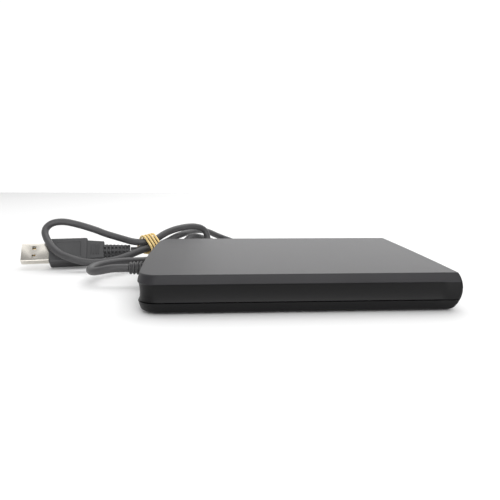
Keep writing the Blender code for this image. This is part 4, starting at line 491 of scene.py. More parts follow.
grip = block("plug_grip", (body_end - BODY_CORNER, -GRIP_WIDTH / 2, -GRIP_HEIGHT / 2),
             (grip_end, GRIP_WIDTH / 2, GRIP_HEIGHT / 2))
draw_end_in(grip, 1, GRIP_TAPER, (grip_end, 0.0, 0.0))
eased(grip, BODY_CORNER / 2)
settle(grip, plug_place, mould, "case", ["plug_body"])
for side in (-1, 1):
    for index in range(GRIP_BARS):
        x = body_end + GRIP_PITCH * (index + GRIP_FIRST_BAR)
        seat = side * GRIP_HEIGHT / 2 * GRIP_BAR_SEAT
        bar = block(f"grip_bar_{index + 1}_{'back' if side < 0 else 'face'}",
                    (x, -GRIP_BAR_LENGTH / 2, seat - GRIP_BAR_HEIGHT),
                    (x + GRIP_BAR_WIDTH, GRIP_BAR_LENGTH / 2, seat + GRIP_BAR_HEIGHT * 2))
        eased(bar, GRIP_BAR_WIDTH / 4, 2)
        settle(bar, plug_place, mould, "case", ["plug_body"])

boot_turn = plug_place @ Matrix.Rotation(math.pi / 2, 4, "Y")
boot = drawn_up("plug_boot",
                [(grip_end - BODY_CORNER, BOOT_CORE_RADIUS)]
                + ribbed(grip_end, grip_end + BOOT_LENGTH, BOOT_RINGS, BOOT_RING_SHARE, BOOT_CORE_RADIUS,
                         BOOT_RADIUS, BOOT_TIP_RADIUS, BOOT_EDGE), BOOT_SIDES)
settle(boot, boot_turn, mould, "case", ["plug_body"])
ring_pitch = BOOT_LENGTH / BOOT_RINGS
bridge_length = ring_pitch * (1 - BOOT_RING_SHARE) + 2 * BOOT_EDGE
for row in range(BOOT_RINGS):
    reach = BOOT_RADIUS + (BOOT_TIP_RADIUS - BOOT_RADIUS) * row / BOOT_RINGS - BOOT_EDGE
    for index in range(BOOT_BRIDGES):
        low = grip_end + ring_pitch * row - BOOT_EDGE
        bridge = block(f"boot_bridge_{row + 1}_{index + 1}",
                       (low, -BOOT_BRIDGE_WIDTH / 2, BOOT_CORE_RADIUS - BOOT_EDGE),
                       (low + bridge_length, BOOT_BRIDGE_WIDTH / 2, reach))
        eased(bridge, BOOT_EDGE, 1)
        turn = math.tau * (index + 0.5) / BOOT_BRIDGES
        settle(bridge, plug_place @ Matrix.Rotation(turn, 4, "X"), mould, "case",
               ["plug_body"])

# The shell is folded from bright nickel-plated steel, with two windows on each broad face and the
# white tongue inside it, which carries four gilt contacts.
SHELL_WIDTH = 0.0120
SHELL_HEIGHT = 0.0045
SHELL_WALL = 0.00035
SHELL_CORNER = 0.0005
SHELL_CORNER_STEPS = 4
SHELL_WINDOW = 0.0022
SHELL_WINDOW_FROM_TIP = 0.0072
SHELL_WINDOW_OFFSET = 0.0029
TONGUE_WIDTH = 0.0108
TONGUE_HEIGHT = 0.0018
TONGUE_SET_BACK = 0.0012
TONGUE_NOSE = (1.0, 0.97, 0.7)
CONTACT_SET_BACK = 0.00264
CONTACT_LENGTH = 0.0070
CONTACT_WIDTH = 0.0010
CONTACT_PROUD = 0.00012
CONTACT_OFFSETS = (-0.0035, -0.0010, 0.0010, 0.0035)
NICKEL_FINISH = dict(dark=(0.60, 0.57, 0.51), pale=(0.74, 0.71, 0.66), roughness=0.24,
                     grain=1800.0, height=0.00001, metallic=1.0, cloud=120.0)
TONGUE_FINISH = dict(dark=(0.74, 0.74, 0.71), pale=(0.80, 0.80, 0.77), roughness=0.5, grain=1500.0,
                     height=0.00001)
GILT_FINISH = dict(dark=(0.72, 0.50, 0.20), pale=(0.84, 0.62, 0.30), roughness=0.28, grain=1500.0,
                   height=0.00001, metallic=1.0)

nickel = speckled("nickel_plate", **NICKEL_FINISH)
tongue_white = speckled("tongue_white", **TONGUE_FINISH)
gilt = speckled("gilt_contact", **GILT_FINISH)

shell = block("shell", (0.0, -SHELL_WIDTH / 2, -SHELL_HEIGHT / 2),
              (SHELL_LENGTH, SHELL_WIDTH / 2, SHELL_HEIGHT / 2))


def runs_along(edge):
    """whether the edge runs from one end of the shell to the other"""
    near, far = (shell.data.vertices[index].co.x for index in edge.vertices)
    return abs(near - far) > SHELL_LENGTH / 2


pick(shell, "EDGE", runs_along)
bpy.ops.mesh.bevel(offset=SHELL_CORNER, segments=SHELL_CORNER_STEPS)
pick(shell, "FACE", lambda face: abs(face.normal.x) > LOOKS_ALONG_X)
bpy.ops.mesh.delete(type="FACE")
bpy.ops.object.mode_set(mode="OBJECT")
wall = shell.modifiers.new("wall", "SOLIDIFY")
wall.thickness = SHELL_WALL
wall.offset = -1.0
work_in(shell, wall)
windows = []
for side in (-1, 1):
    middle = side * SHELL_WINDOW_OFFSET
    windows.append(block("window", (SHELL_WINDOW_FROM_TIP - SHELL_WINDOW / 2,
                                    middle - SHELL_WINDOW / 2, -SHELL_HEIGHT),
                         (SHELL_WINDOW_FROM_TIP + SHELL_WINDOW / 2,
                          middle + SHELL_WINDOW / 2, SHELL_HEIGHT)))
combine(shell, windows)
settle(shell, plug_place, nickel, "case", ["plug_shell"])

inner_high = SHELL_HEIGHT / 2 - SHELL_WALL
tongue_top = FIT_GAP - inner_high + TONGUE_HEIGHT
tongue = block("tongue", (TONGUE_SET_BACK, -TONGUE_WIDTH / 2, FIT_GAP - inner_high),
               (SHELL_LENGTH, TONGUE_WIDTH / 2, tongue_top))
draw_end_in(tongue, -1, TONGUE_NOSE, (TONGUE_SET_BACK, 0.0, FIT_GAP - inner_high))
eased(tongue, SHELL_WALL / 3, 2)
settle(tongue, plug_place, tongue_white, "case", ["plug_tongue"])
for index, offset in enumerate(CONTACT_OFFSETS, 1):
    contact = block(f"contact_{index}",
                    (CONTACT_SET_BACK, offset - CONTACT_WIDTH / 2, tongue_top - CONTACT_PROUD),
                    (CONTACT_SET_BACK + CONTACT_LENGTH, offset + CONTACT_WIDTH / 2,
                     tongue_top + CONTACT_PROUD))
    eased(contact, CONTACT_PROUD / 2, 2)
    settle(contact, plug_place, gilt, "case", ["plug_tongue"])

# The band is a tan rubber band wound four times round the three strands, drawn flat where it turns
# over the outer ones.
BAND_PLACE = (-0.0776, 0.0602, 0.0130)
BAND_HEADING = (0.785, 0.61, 0.12)
BAND_STRANDS = ((-0.0038, -0.0015), (0.0002, 0.0020), (0.0038, -0.0021))
BAND_RADIUS = 0.0007
BAND_PITCH = 0.0022
BAND_TURNS = 4
BAND_CLEARANCE = 0.0009
BAND_POINTS = 64
BAND_ROUNDNESS = 5
BAND_UNEVENNESS = 0.08
BAND_WAVES = 3.1
BAND_FINISH = dict(dark=(0.70, 0.48, 0.17), pale=(0.92, 0.72, 0.34), roughness=0.6, grain=2500.0,
                   height=0.00008, cloud=350.0)

band_tan = speckled("band_tan", **BAND_FINISH)
band_along = Vector(BAND_HEADING).normalized()
band_side = Vector((0.0, 0.0, 1.0)).cross(band_along).normalized()
band_rise = band_along.cross(band_side)
band_strands = [Vector(strand) for strand in BAND_STRANDS]
band_reach = CORD_DIAMETER / 2 + BAND_CLEARANCE + BAND_RADIUS
band_count = BAND_TURNS * BAND_POINTS
band_points = []
for index in range(band_count + 1):
    angle = math.tau * index / BAND_POINTS
    outward = Vector((math.cos(angle), math.sin(angle)))
    strand = max(band_strands, key=outward.dot) + outward * band_reach
    travel = BAND_PITCH * BAND_TURNS * (index / band_count - 0.5)
    band_points.append(Vector(BAND_PLACE) + band_along * travel + band_side * strand.x
                       + band_rise * strand.y)
band = tube("band", band_points, BAND_RADIUS, BAND_ROUNDNESS, band_tan)
for index, spot in enumerate(band.data.splines[0].points):
    angle = math.tau * index / BAND_POINTS
    spot.radius = 1 - BAND_UNEVENNESS + BAND_UNEVENNESS * math.sin(BAND_WAVES * angle)
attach(band, "case")
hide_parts("cable_band")

# The top cover is moulded in dark grey polycarbonate with a fine matt grain. Its walls bulge, its rear
# is bowed, and a shallow groove runs round the rear and the sides and fades out before the front.
CASE_LENGTH = 0.1435
CASE_WIDTH = 0.104
CASE_HEIGHT = 0.0170
FOOT_PROUD = 0.0005
CASE_WALL = 0.0015
SEAM_HEIGHT = 0.0049
SEAM_EASE = 0.00012
REAR_BOW = 0.0018
FRONT_BOW = 0.0006
FRONT_WALL_RADIUS = 0.013
SIDE_WALL_RADIUS = 0.026
WALL_CENTRE_HEIGHT = 0.0092
BOTTOM_FILLET = 0.0015
REAR_CORNER_RADIUS = 0.0085
FRONT_CORNER_RADIUS = 0.0020
FRONT_CREASE_RADIUS = 0.0009
TOP_EDGE_ROUND = 0.0004
GROOVE_LOW = 0.0047
GROOVE_HIGH = 0.0130
GROOVE_DEPTH = 0.0012
GROOVE_LIP = 0.0003
GROOVE_LIP_SHARES = (0.8, 0.3)
GROOVE_RUN_OUT = 0.0050
GROOVE_END_TO_FRONT = 0.0066
INNER_CORNER_RADIUS = 0.0070
FRONT_OPENING_WIDTH = 0.0956
FRONT_OPENING_LOW = 0.0029
FRONT_OPENING_HIGH = 0.0153
CHASSIS_FRONT = 0.060
END_STEPS = 16
CORNER_STEPS = 16
COVER_SHARP = 30.0
SIDE_STEPS = 12
GROOVE_STEPS = 14
WALL_STEPS = 6
EDGE_STEPS = 5
CASE_FINISH = dict(dark=(0.022, 0.0215, 0.0235), pale=(0.029, 0.0285, 0.0310), roughness=0.43,
                   grain=3600.0, height=0.00003, sheen=0.21)
# The two values below set a painted shade: the share of lightness kept below the groove's upper lip, and
# the height over which it fades in.
CASE_PAINTED_SHADE_SHARE = 0.14
CASE_PAINTED_SHADE_FADE = 0.0002

case_grain_and_painted_shade = speckled("case_grain_and_painted_shade", **CASE_FINISH)


def painted_shade_below(material, level, fade, share):
    """painted shade: below the level the finish keeps only a share of its lightness, standing in for the
    shade on the lower walls
    """
    tree = material.node_tree
    shader = tree.nodes["Principled BSDF"]
    tones = shader.inputs["Base Color"].links[0].from_socket
    place = tree.nodes.new("ShaderNodeTexCoord")
    split = tree.nodes.new("ShaderNodeSeparateXYZ")
    lightness = tree.nodes.new("ShaderNodeMapRange")
    lightness.inputs["From Min"].default_value = level - fade
    lightness.inputs["From Max"].default_value = level
    lightness.inputs["To Min"].default_value = share
    shade = tree.nodes.new("ShaderNodeHueSaturation")
    tree.links.new(place.outputs["Object"], split.inputs["Vector"])
    tree.links.new(split.outputs["Z"], lightness.inputs["Value"])
    tree.links.new(lightness.outputs["Result"], shade.inputs["Value"])
    tree.links.new(tones, shade.inputs["Color"])
    tree.links.new(shade.outputs["Color"], shader.inputs["Base Color"])


# Painted shade: below the groove's upper lip the finish is darkened, over the groove, the lower band and
# the whole bottom cover, to stand in for the shade that falls there.
painted_shade_below(case_grain_and_painted_shade, FOOT_PROUD + GROOVE_HIGH, CASE_PAINTED_SHADE_FADE, CASE_PAINTED_SHADE_SHARE)


def wall_inset(height, radius):
    """how far a bulged wall stands in from its fullest height"""
    return radius - math.sqrt(radius ** 2 - (height - WALL_CENTRE_HEIGHT) ** 2)


def edge_inset(height):
    """the round of the under edge and the small round along the top"""
    top = CASE_HEIGHT - TOP_EDGE_ROUND
    if height < BOTTOM_FILLET:
        return BOTTOM_FILLET - math.sqrt(BOTTOM_FILLET ** 2 - (BOTTOM_FILLET - height) ** 2)
    if height > top:
        return TOP_EDGE_ROUND - math.sqrt(max(0.0, TOP_EDGE_ROUND ** 2 - (height - top) ** 2))
    return 0.0


def end_curve(reach, half_width, radius, bow):
    """half of one end of the plan, from its middle out to where its corner meets the side"""
    flat = half_width - radius
    lean = math.atan(2 * bow * flat / half_width ** 2)
    meet_y = flat + radius * math.sin(lean)
    centre_x = reach - bow * (meet_y / half_width) ** 2 - radius * math.cos(lean)
    points = [(reach - bow * (meet_y * share / END_STEPS / half_width) ** 2, meet_y * share / END_STEPS)
              for share in range(END_STEPS)]
    for share in range(CORNER_STEPS + 1):
        angle = lean + (math.pi / 2 - lean) * share / CORNER_STEPS
        points.append((centre_x + radius * math.cos(angle), flat + radius * math.sin(angle)))
    return points


def plan_ring(height, side, front, rear_radius, front_radius, groove=0.0):
    """one ring of the plan, with its walls drawn in; the groove fades out towards the front"""
    rear_half = end_curve(CASE_LENGTH / 2 - side - groove, CASE_WIDTH / 2 - side - groove,
                          rear_radius - groove, REAR_BOW)
    front_half = end_curve(CASE_LENGTH / 2 - front, CASE_WIDTH / 2 - side, front_radius, FRONT_BOW)
    half = [(-x, -y) for x, y in rear_half]
    start = half[-1][0]
    stop = CASE_LENGTH / 2 - GROOVE_END_TO_FRONT
    for step in range(1, SIDE_STEPS + 1):
        share = step / SIDE_STEPS
        x = start + (stop - GROOVE_RUN_OUT - start) * share
        half.append((x, groove - CASE_WIDTH / 2 + side))
    for step in range(1, EDGE_STEPS + 1):
        share = step / EDGE_STEPS
        rest = groove * (1 + math.cos(math.pi * share)) / 2
        half.append((stop - GROOVE_RUN_OUT * (1 - share), rest - CASE_WIDTH / 2 + side))
    half.extend((x, -y) for x, y in reversed(front_half) if x > stop)
    other_half = [(x, -y) for x, y in reversed(half[1:-1])]
    return [(x, y, FOOT_PROUD + height) for x, y in half + other_half]


def outer_ring(height, groove=0.0, inward=0.0):
    """the case's outside at a height above its underside"""
    edge = edge_inset(height) + inward
    side = wall_inset(height, SIDE_WALL_RADIUS) + edge
    front = wall_inset(height, FRONT_WALL_RADIUS) + edge
    upper_share = min(1.0, (CASE_HEIGHT - height) / (CASE_HEIGHT - WALL_CENTRE_HEIGHT))
    corner = FRONT_CREASE_RADIUS + (FRONT_CORNER_RADIUS - FRONT_CREASE_RADIUS) * upper_share
    return plan_ring(height, side, front, REAR_CORNER_RADIUS, corner, groove)


def inner_ring(height):
    """the inside of the case's wall, which stands upright"""
    side = wall_inset(CASE_HEIGHT, SIDE_WALL_RADIUS) + CASE_WALL
    front = wall_inset(CASE_HEIGHT, FRONT_WALL_RADIUS) + CASE_WALL
    return plan_ring(height, side, front, INNER_CORNER_RADIUS, FRONT_CREASE_RADIUS)


def groove_depth(height):
    """how deep the groove is, a shallow hollow between its two lips"""
    middle = (GROOVE_LOW + GROOVE_HIGH) / 2
    share = (height - middle) / (GROOVE_HIGH - middle)
    return GROOVE_LIP + (GROOVE_DEPTH - GROOVE_LIP) * (1 - share ** 2)


def skin(name, rings):
    """a closed shell over rings with as many points each"""
    shell_shape = bmesh.new()
    loops = [[shell_shape.verts.new(point) for point in ring] for ring in rings]
    count = len(loops[0])
    for near, far in zip(loops, loops[1:]):
        for index in range(count):
            other = (index + 1) % count
            shell_shape.faces.new((near[index], near[other], far[other], far[index]))
    shell_shape.faces.new(loops[0])
    shell_shape.faces.new(loops[-1])
    bmesh.ops.recalc_face_normals(shell_shape, faces=shell_shape.faces)
    mesh = bpy.data.meshes.new(name)
    shell_shape.to_mesh(mesh)
    shell_shape.free()
    piece = bpy.data.objects.new(name, mesh)
    bpy.context.collection.objects.link(piece)
    return piece


def front_cutter():
    """the block that opens the front for the bezel"""
    return block("front_opening",
                 (CHASSIS_FRONT, -FRONT_OPENING_WIDTH / 2, FOOT_PROUD + FRONT_OPENING_LOW),
                 (CASE_LENGTH / 2 + OVERRUN, FRONT_OPENING_WIDTH / 2, FOOT_PROUD + FRONT_OPENING_HIGH))


def along_x(place):
    """lays a piece drawn up its own Z along X, from the place"""
    return Matrix.Translation(place) @ Matrix.Rotation(math.pi / 2, 4, "Y")


def peg(name, place, radius, height, sides=48):
    """an upright round peg on the place"""
    bpy.ops.object.select_all(action="DESELECT")
    x, y, z = place
    bpy.ops.mesh.primitive_cylinder_add(vertices=sides, radius=radius, depth=height,
                                        location=(x, y, z + height / 2))
    piece = bpy.context.object
    piece.name = name
    bpy.ops.object.transform_apply(location=True)
    return piece


cover_low = SEAM_HEIGHT + FIT_GAP / 2
rings = [inner_ring(CASE_HEIGHT - CASE_WALL), inner_ring(cover_low),
         outer_ring(cover_low, groove_depth(cover_low), SEAM_EASE),
         outer_ring(cover_low + SEAM_EASE, groove_depth(cover_low))]
lip_low = GROOVE_HIGH - GROOVE_LIP
for step in range(1, GROOVE_STEPS + 1):
    height = cover_low + SEAM_EASE + (lip_low - cover_low - SEAM_EASE) * step / GROOVE_STEPS
    rings.append(outer_ring(height, groove_depth(height)))
rings.append(outer_ring(GROOVE_HIGH - GROOVE_LIP / 3, GROOVE_LIP * GROOVE_LIP_SHARES[0]))
rings.append(outer_ring(GROOVE_HIGH, GROOVE_LIP * GROOVE_LIP_SHARES[1]))
rings.append(outer_ring(GROOVE_HIGH + GROOVE_LIP / 2))
edge_low = CASE_HEIGHT - TOP_EDGE_ROUND
for step in range(1, WALL_STEPS + 1):
    rings.append(outer_ring(GROOVE_HIGH + GROOVE_LIP / 2 + (edge_low - GROOVE_HIGH - GROOVE_LIP / 2)
                            * step / WALL_STEPS))
for step in range(1, EDGE_STEPS + 1):
    rings.append(outer_ring(edge_low + TOP_EDGE_ROUND * math.sin(math.pi / 2 * step / EDGE_STEPS)))
rings.append(outer_ring(CASE_HEIGHT, 0.0, TOP_EDGE_ROUND / 2))
lid = skin("top_shell", rings)
cable_hole = peg("cable_hole", (0.0, 0.0, 0.0), RELIEF_NECK_RADIUS + FIT_GAP, CASE_LENGTH / 4)
cable_hole.data.transform(along_x((-CASE_LENGTH / 2 - OVERRUN, 0.0, CORD_EXIT[2])))
combine(lid, [front_cutter(), cable_hole])
settle(lid, Matrix(), case_grain_and_painted_shade, "case", ["top_cover"], COVER_SHARP)

# The bottom cover is the same plastic, with a rounded under edge. Four screw heads and four feet sit in
# recesses, and a wide shallow panel on the underside is left blank.
FOOT_RADIUS = 0.0040
FOOT_THICKNESS = 0.0008
FOOT_INSET_X = 0.0120
FOOT_INSET_Y = 0.0100
SCREW_INSET_X = 0.0250
SCREW_INSET_Y = 0.0160
SCREW_HEAD_RADIUS = 0.0025
SCREW_HEAD_THICKNESS = 0.0010
SCREW_HEAD_SUNK = 0.0003
SCREW_SHANK_RADIUS = 0.0011
BOSS_RADIUS = 0.0040
CHASSIS_LOW = 0.0032
LABEL_LENGTH = 0.058
LABEL_WIDTH = 0.044
LABEL_DEPTH = 0.0003
FILLET_STEPS = 7

cover_high = SEAM_HEIGHT - FIT_GAP / 2
rings = [outer_ring(0.0, 0.0, TOP_EDGE_ROUND)]
for step in range(FILLET_STEPS + 1):
    rings.append(outer_ring(BOTTOM_FILLET * (1 - math.cos(math.pi / 2 * step / FILLET_STEPS))))
rings.append(outer_ring((BOTTOM_FILLET + GROOVE_LOW) / 2))
rings.append(outer_ring(GROOVE_LOW - GROOVE_LIP / 3))
rings.append(outer_ring(GROOVE_LOW, GROOVE_LIP / 3))
rings.append(outer_ring(GROOVE_LOW + SEAM_EASE / 2, groove_depth(GROOVE_LOW)))
rings.append(outer_ring(cover_high, groove_depth(cover_high) + SEAM_EASE))
rings += [inner_ring(cover_high), inner_ring(CASE_WALL)]
tray = skin("bottom_shell", rings)
corners = [(-1, -1), (1, -1), (1, 1), (-1, 1)]
screw_x = CASE_LENGTH / 2 - SCREW_INSET_X
screw_y = CASE_WIDTH / 2 - SCREW_INSET_Y
foot_x = CASE_LENGTH / 2 - FOOT_INSET_X
foot_y = CASE_WIDTH / 2 - FOOT_INSET_Y
head_top = FOOT_PROUD + SCREW_HEAD_SUNK + SCREW_HEAD_THICKNESS + FIT_GAP
foot_top = FOOT_THICKNESS + FIT_GAP
boss_low = FOOT_PROUD + CASE_WALL / 2
cuts = [front_cutter()]
for along, aside in corners:
    boss = peg("boss", (along * screw_x, aside * screw_y, boss_low), BOSS_RADIUS,
               CHASSIS_LOW - FIT_GAP - boss_low)
    combine(tray, [boss], "UNION")
    cuts.append(peg("head_recess", (along * screw_x, aside * screw_y, -OVERRUN),
                    SCREW_HEAD_RADIUS + FIT_GAP, head_top + OVERRUN))
    cuts.append(peg("shank_hole", (along * screw_x, aside * screw_y, FOOT_PROUD),
                    SCREW_SHANK_RADIUS + FIT_GAP, CASE_HEIGHT / 2))
    cuts.append(peg("foot_recess", (along * foot_x, aside * foot_y, -OVERRUN),
                    FOOT_RADIUS + FIT_GAP, foot_top + OVERRUN))
cuts.append(block("label_recess", (-LABEL_LENGTH / 2, -LABEL_WIDTH / 2, FOOT_PROUD - OVERRUN),
                  (LABEL_LENGTH / 2, LABEL_WIDTH / 2, FOOT_PROUD + LABEL_DEPTH)))
combine(tray, cuts)
settle(tray, Matrix(), case_grain_and_painted_shade, "case", ["bottom_cover"], COVER_SHARP)

# Each screw is zinc-plated steel with a cross recess, sunk a little below the underside, and each foot
# is a soft black rubber disc glued in its recess.
SCREW_CROSS_WIDTH = 0.0006
SCREW_CROSS_DEPTH = 0.0005
SCREW_SIDES = 48
SHEET = 0.0008
THIN_STEP = SEAM_EASE / 9
FOOT_SIDES = 64
RUBBER_FINISH = dict(dark=(0.010, 0.010, 0.010), pale=(0.022, 0.022, 0.022), roughness=0.85,
                     grain=2400.0, height=0.00008, cloud=400.0)
ZINC_FINISH = dict(dark=(0.38, 0.39, 0.40), pale=(0.58, 0.59, 0.60), roughness=0.34, grain=1400.0,
                   height=0.00001, metallic=1.0, cloud=90.0)

foot_rubber = speckled("foot_rubber", **RUBBER_FINISH)
zinc = speckled("zinc_plate", **ZINC_FINISH)
for index, (along, aside) in enumerate(corners, 1):
    pad = drawn_up(f"foot_{index}",
                   [(0.0, FOOT_RADIUS - FOOT_PROUD), (FOOT_PROUD / 5, FOOT_RADIUS - FOOT_PROUD / 2),
                    (FOOT_PROUD / 2, FOOT_RADIUS - FOOT_PROUD / 5), (FOOT_PROUD, FOOT_RADIUS),
                    (FOOT_THICKNESS, FOOT_RADIUS)], FOOT_SIDES)
    settle(pad, Matrix.Translation((along * foot_x, aside * foot_y, 0.0)), foot_rubber, "case",
           [f"rubber_foot_{index}"])
    low = FOOT_PROUD + SCREW_HEAD_SUNK
    screw = drawn_up(f"screw_{index}",
                     [(0.0, SCREW_HEAD_RADIUS - SCREW_CROSS_DEPTH),
                      (SCREW_CROSS_DEPTH / 4, SCREW_HEAD_RADIUS - SCREW_CROSS_DEPTH / 2),
                      (SCREW_CROSS_DEPTH, SCREW_HEAD_RADIUS), (SCREW_HEAD_THICKNESS, SCREW_HEAD_RADIUS),
                      (SCREW_HEAD_THICKNESS + THIN_STEP, SCREW_SHANK_RADIUS),
                      (CHASSIS_LOW + SHEET - SCREW_HEAD_SUNK - low, SCREW_SHANK_RADIUS)], SCREW_SIDES)
    arm = SCREW_HEAD_RADIUS - SCREW_CROSS_DEPTH - SCREW_CROSS_WIDTH
    half = SCREW_CROSS_WIDTH / 2
    slots = [block("cross", (-reach_x, -reach_y, -OVERRUN), (reach_x, reach_y, SCREW_CROSS_DEPTH))
             for reach_x, reach_y in ((arm, half), (half, arm))]
    combine(screw, slots)
    settle(screw, Matrix.Translation((along * screw_x, aside * screw_y, low)), zinc, "case",
           [f"case_screw_{index}"])

# The front bezel is a near black moulding that fills the opening. It has the disk slot with a thumb
# notch, a window for the eject button and a small hole for the lamp.
BEZEL_RECESS = 0.0004
BEZEL_DEPTH = 0.0062
BEZEL_WALL = 0.0036
BEZEL_RIM = 0.0019
BEZEL_LIP = 0.0008
BEZEL_LEVELS = 16
BEZEL_STEPS = 40
BEZEL_SHARP = 25.0
SLOT_WIDTH = 0.0912
SLOT_LOW = 0.0090
SLOT_HIGH = 0.0134
NOTCH_WIDTH = 0.019
NOTCH_DEPTH = 0.0013
NOTCH_HEIGHT = 0.0066
DOOR_THICKNESS = 0.0008
DOOR_OVERLAP = 0.0004
DOOR_SET_BACK = 0.0006
DOOR_PIN_RADIUS = 0.0005
DOOR_PIN_LENGTH = 0.0010
DOOR_PIN_SIDES = 24
DOOR_NOTCH_WIDTH = 0.0036
DOOR_NOTCH_HEIGHT = 0.0021
DOOR_EASE = 0.00015
BUTTON_WIDTH = 0.0084
BUTTON_HEIGHT = 0.0030
BUTTON_OFFSET = 0.0320
BUTTON_MIDDLE = 0.0062
BUTTON_PROUD = 0.0009
BUTTON_ROUND = 0.0005
LAMP_OFFSET = 0.0360
LAMP_MIDDLE = 0.0063
LAMP_RADIUS = 0.0012
LAMP_PROUD = 0.0002
LAMP_FLANGE = 0.0004
LAMP_SIDES = 48
TRIM_FINISH = dict(dark=(0.010, 0.010, 0.011), pale=(0.018, 0.018, 0.019), roughness=0.48,
                   grain=3200.0, height=0.00004, sheen=0.35)

trim = speckled("trim_moulding", **TRIM_FINISH)
bezel_low = FOOT_PROUD + FRONT_OPENING_LOW + FIT_GAP
bezel_high = FOOT_PROUD + FRONT_OPENING_HIGH - FIT_GAP
bezel_half = FRONT_OPENING_WIDTH / 2 - FIT_GAP
bezel_face = CASE_LENGTH / 2 - BEZEL_RECESS
bezel_back = bezel_face - BEZEL_DEPTH
pocket_front = bezel_face - BEZEL_WALL
pocket_half = bezel_half - BEZEL_RIM
door_low = SLOT_LOW - DOOR_OVERLAP
door_high = SLOT_HIGH + DOOR_OVERLAP + DOOR_THICKNESS / 4
door_front = pocket_front - DOOR_SET_BACK
door_axis = (door_front - DOOR_THICKNESS / 2, 0.0, door_high - DOOR_THICKNESS / 2)
door_half = pocket_half - FIT_GAP


def front_face(height, y):
    """the front of the case, over its opening, at a height above the case's underside"""
    bow = FRONT_BOW * (y / (CASE_WIDTH / 2)) ** 2
    return CASE_LENGTH / 2 - wall_inset(height, FRONT_WALL_RADIUS) - bow


rings = []
for level in range(BEZEL_LEVELS + 1):
    z = bezel_low + (bezel_high - bezel_low) * level / BEZEL_LEVELS
    ring = []
    for step in range(BEZEL_STEPS + 1):
        y = bezel_half * (2 * step / BEZEL_STEPS - 1)
        ring.append((front_face(z - FOOT_PROUD, y) - BEZEL_RECESS, y, z))
    rings.append(ring + [(bezel_back, bezel_half, z), (bezel_back, -bezel_half, z)])
bezel = skin("bezel", rings)
past = CASE_LENGTH / 2 + OVERRUN
slot_middle = (SLOT_LOW + SLOT_HIGH) / 2
half_wide = BUTTON_WIDTH / 2 + FIT_GAP
half_high = BUTTON_HEIGHT / 2 + FIT_GAP
lamp_hole = peg("lamp_hole", (0.0, 0.0, 0.0), LAMP_RADIUS + FIT_GAP, past - bezel_back)
lamp_hole.data.transform(along_x((bezel_back, -LAMP_OFFSET, LAMP_MIDDLE)))
pin_hole = peg("pin_hole", (0.0, 0.0, -door_half - DOOR_PIN_LENGTH - FIT_GAP), DOOR_PIN_RADIUS + FIT_GAP,
               2 * (door_half + DOOR_PIN_LENGTH + FIT_GAP), DOOR_PIN_SIDES)
door_turn = Matrix.Translation(door_axis) @ Matrix.Rotation(math.pi / 2, 4, "X")
pin_hole.data.transform(door_turn)
combine(bezel, [
    block("pocket", (bezel_back - OVERRUN, -pocket_half, bezel_low + BEZEL_LIP),
          (pocket_front, pocket_half, bezel_high - BEZEL_LIP)),
    block("slot", (bezel_back, -SLOT_WIDTH / 2, SLOT_LOW), (past, SLOT_WIDTH / 2, SLOT_HIGH)),
    block("notch", (bezel_face - NOTCH_DEPTH, -NOTCH_WIDTH / 2, slot_middle - NOTCH_HEIGHT / 2),
          (past, NOTCH_WIDTH / 2, slot_middle + NOTCH_HEIGHT / 2)),
    block("button_window", (bezel_back, BUTTON_OFFSET - half_wide, BUTTON_MIDDLE - half_high),
          (past, BUTTON_OFFSET + half_wide, BUTTON_MIDDLE + half_high)),
    lamp_hole,
    pin_hole])
settle(bezel, Matrix(), trim, "case", ["front_bezel"], BEZEL_SHARP)

# The dust door is a thin flap behind the slot, hung on two pins at its top edge and moulded in the
# bezel's plastic. A disk pushes it in and a fine spring closes it.
door = block("door", (door_front - DOOR_THICKNESS, -door_half, door_low),
             (door_front, door_half, door_high))
eased(door, DOOR_EASE)
door_middle = DOOR_NOTCH_WIDTH - door_half
spring_notch = block("spring_notch",
                     (door_front - DOOR_THICKNESS - OVERRUN, door_middle - DOOR_NOTCH_WIDTH / 2,
                      door_high - DOOR_NOTCH_HEIGHT),
                     (door_front + OVERRUN, door_middle + DOOR_NOTCH_WIDTH / 2, door_high + OVERRUN))
combine(door, [spring_notch])
settle(door, Matrix(), trim, "door", ["disk_door"])
pin_start = -door_half - DOOR_PIN_LENGTH
door_pin = peg("door_pin", (0.0, 0.0, pin_start), DOOR_PIN_RADIUS, -2 * pin_start, DOOR_PIN_SIDES)
settle(door_pin, door_turn, trim, "door", ["disk_door"])

# The eject button is a separate key, clipped to the slide behind it, with rounded edges and three fine
# finger ribs across its face.
CAGE_FRONT = 0.058
SLIDE_TAB_THICKNESS = 0.0005
KEY_RIBS = 3
KEY_RIB_WIDTH = 0.0003
KEY_RIB_PITCH = 0.0007

key_face = front_face(BUTTON_MIDDLE - FOOT_PROUD, BUTTON_OFFSET) - BEZEL_RECESS + BUTTON_PROUD
key_back = CAGE_FRONT + 2 * FIT_GAP + SLIDE_TAB_THICKNESS
key = block("eject_key", (key_back, BUTTON_OFFSET - BUTTON_WIDTH / 2, BUTTON_MIDDLE - BUTTON_HEIGHT / 2),
            (key_face, BUTTON_OFFSET + BUTTON_WIDTH / 2, BUTTON_MIDDLE + BUTTON_HEIGHT / 2))
eased(key, BUTTON_ROUND, 5)
rib_cuts = []
for index in range(KEY_RIBS):
    z = BUTTON_MIDDLE + KEY_RIB_PITCH * (index - (KEY_RIBS - 1) / 2)
    rib_cuts.append(block("rib_cut", (key_face - KEY_RIB_WIDTH / 2, BUTTON_OFFSET - BUTTON_WIDTH / 3,
                                      z - KEY_RIB_WIDTH / 2),
                          (key_face + OVERRUN, BUTTON_OFFSET + BUTTON_WIDTH / 3, z + KEY_RIB_WIDTH / 2)))
combine(key, rib_cuts)
settle(key, Matrix(), trim, "slide", ["eject_button"])

# The lamp's lens is a turned rod of clear plastic with a green tint, held by a flange behind the bezel.
# It carries the light of the small lamp on the board behind it.
SENSOR_BOARD_FRONT = 0.0570
LENS_FINISH = dict(dark=(0.16, 0.42, 0.14), pale=(0.24, 0.52, 0.20), roughness=0.18, grain=900.0,
                   height=0.00001)

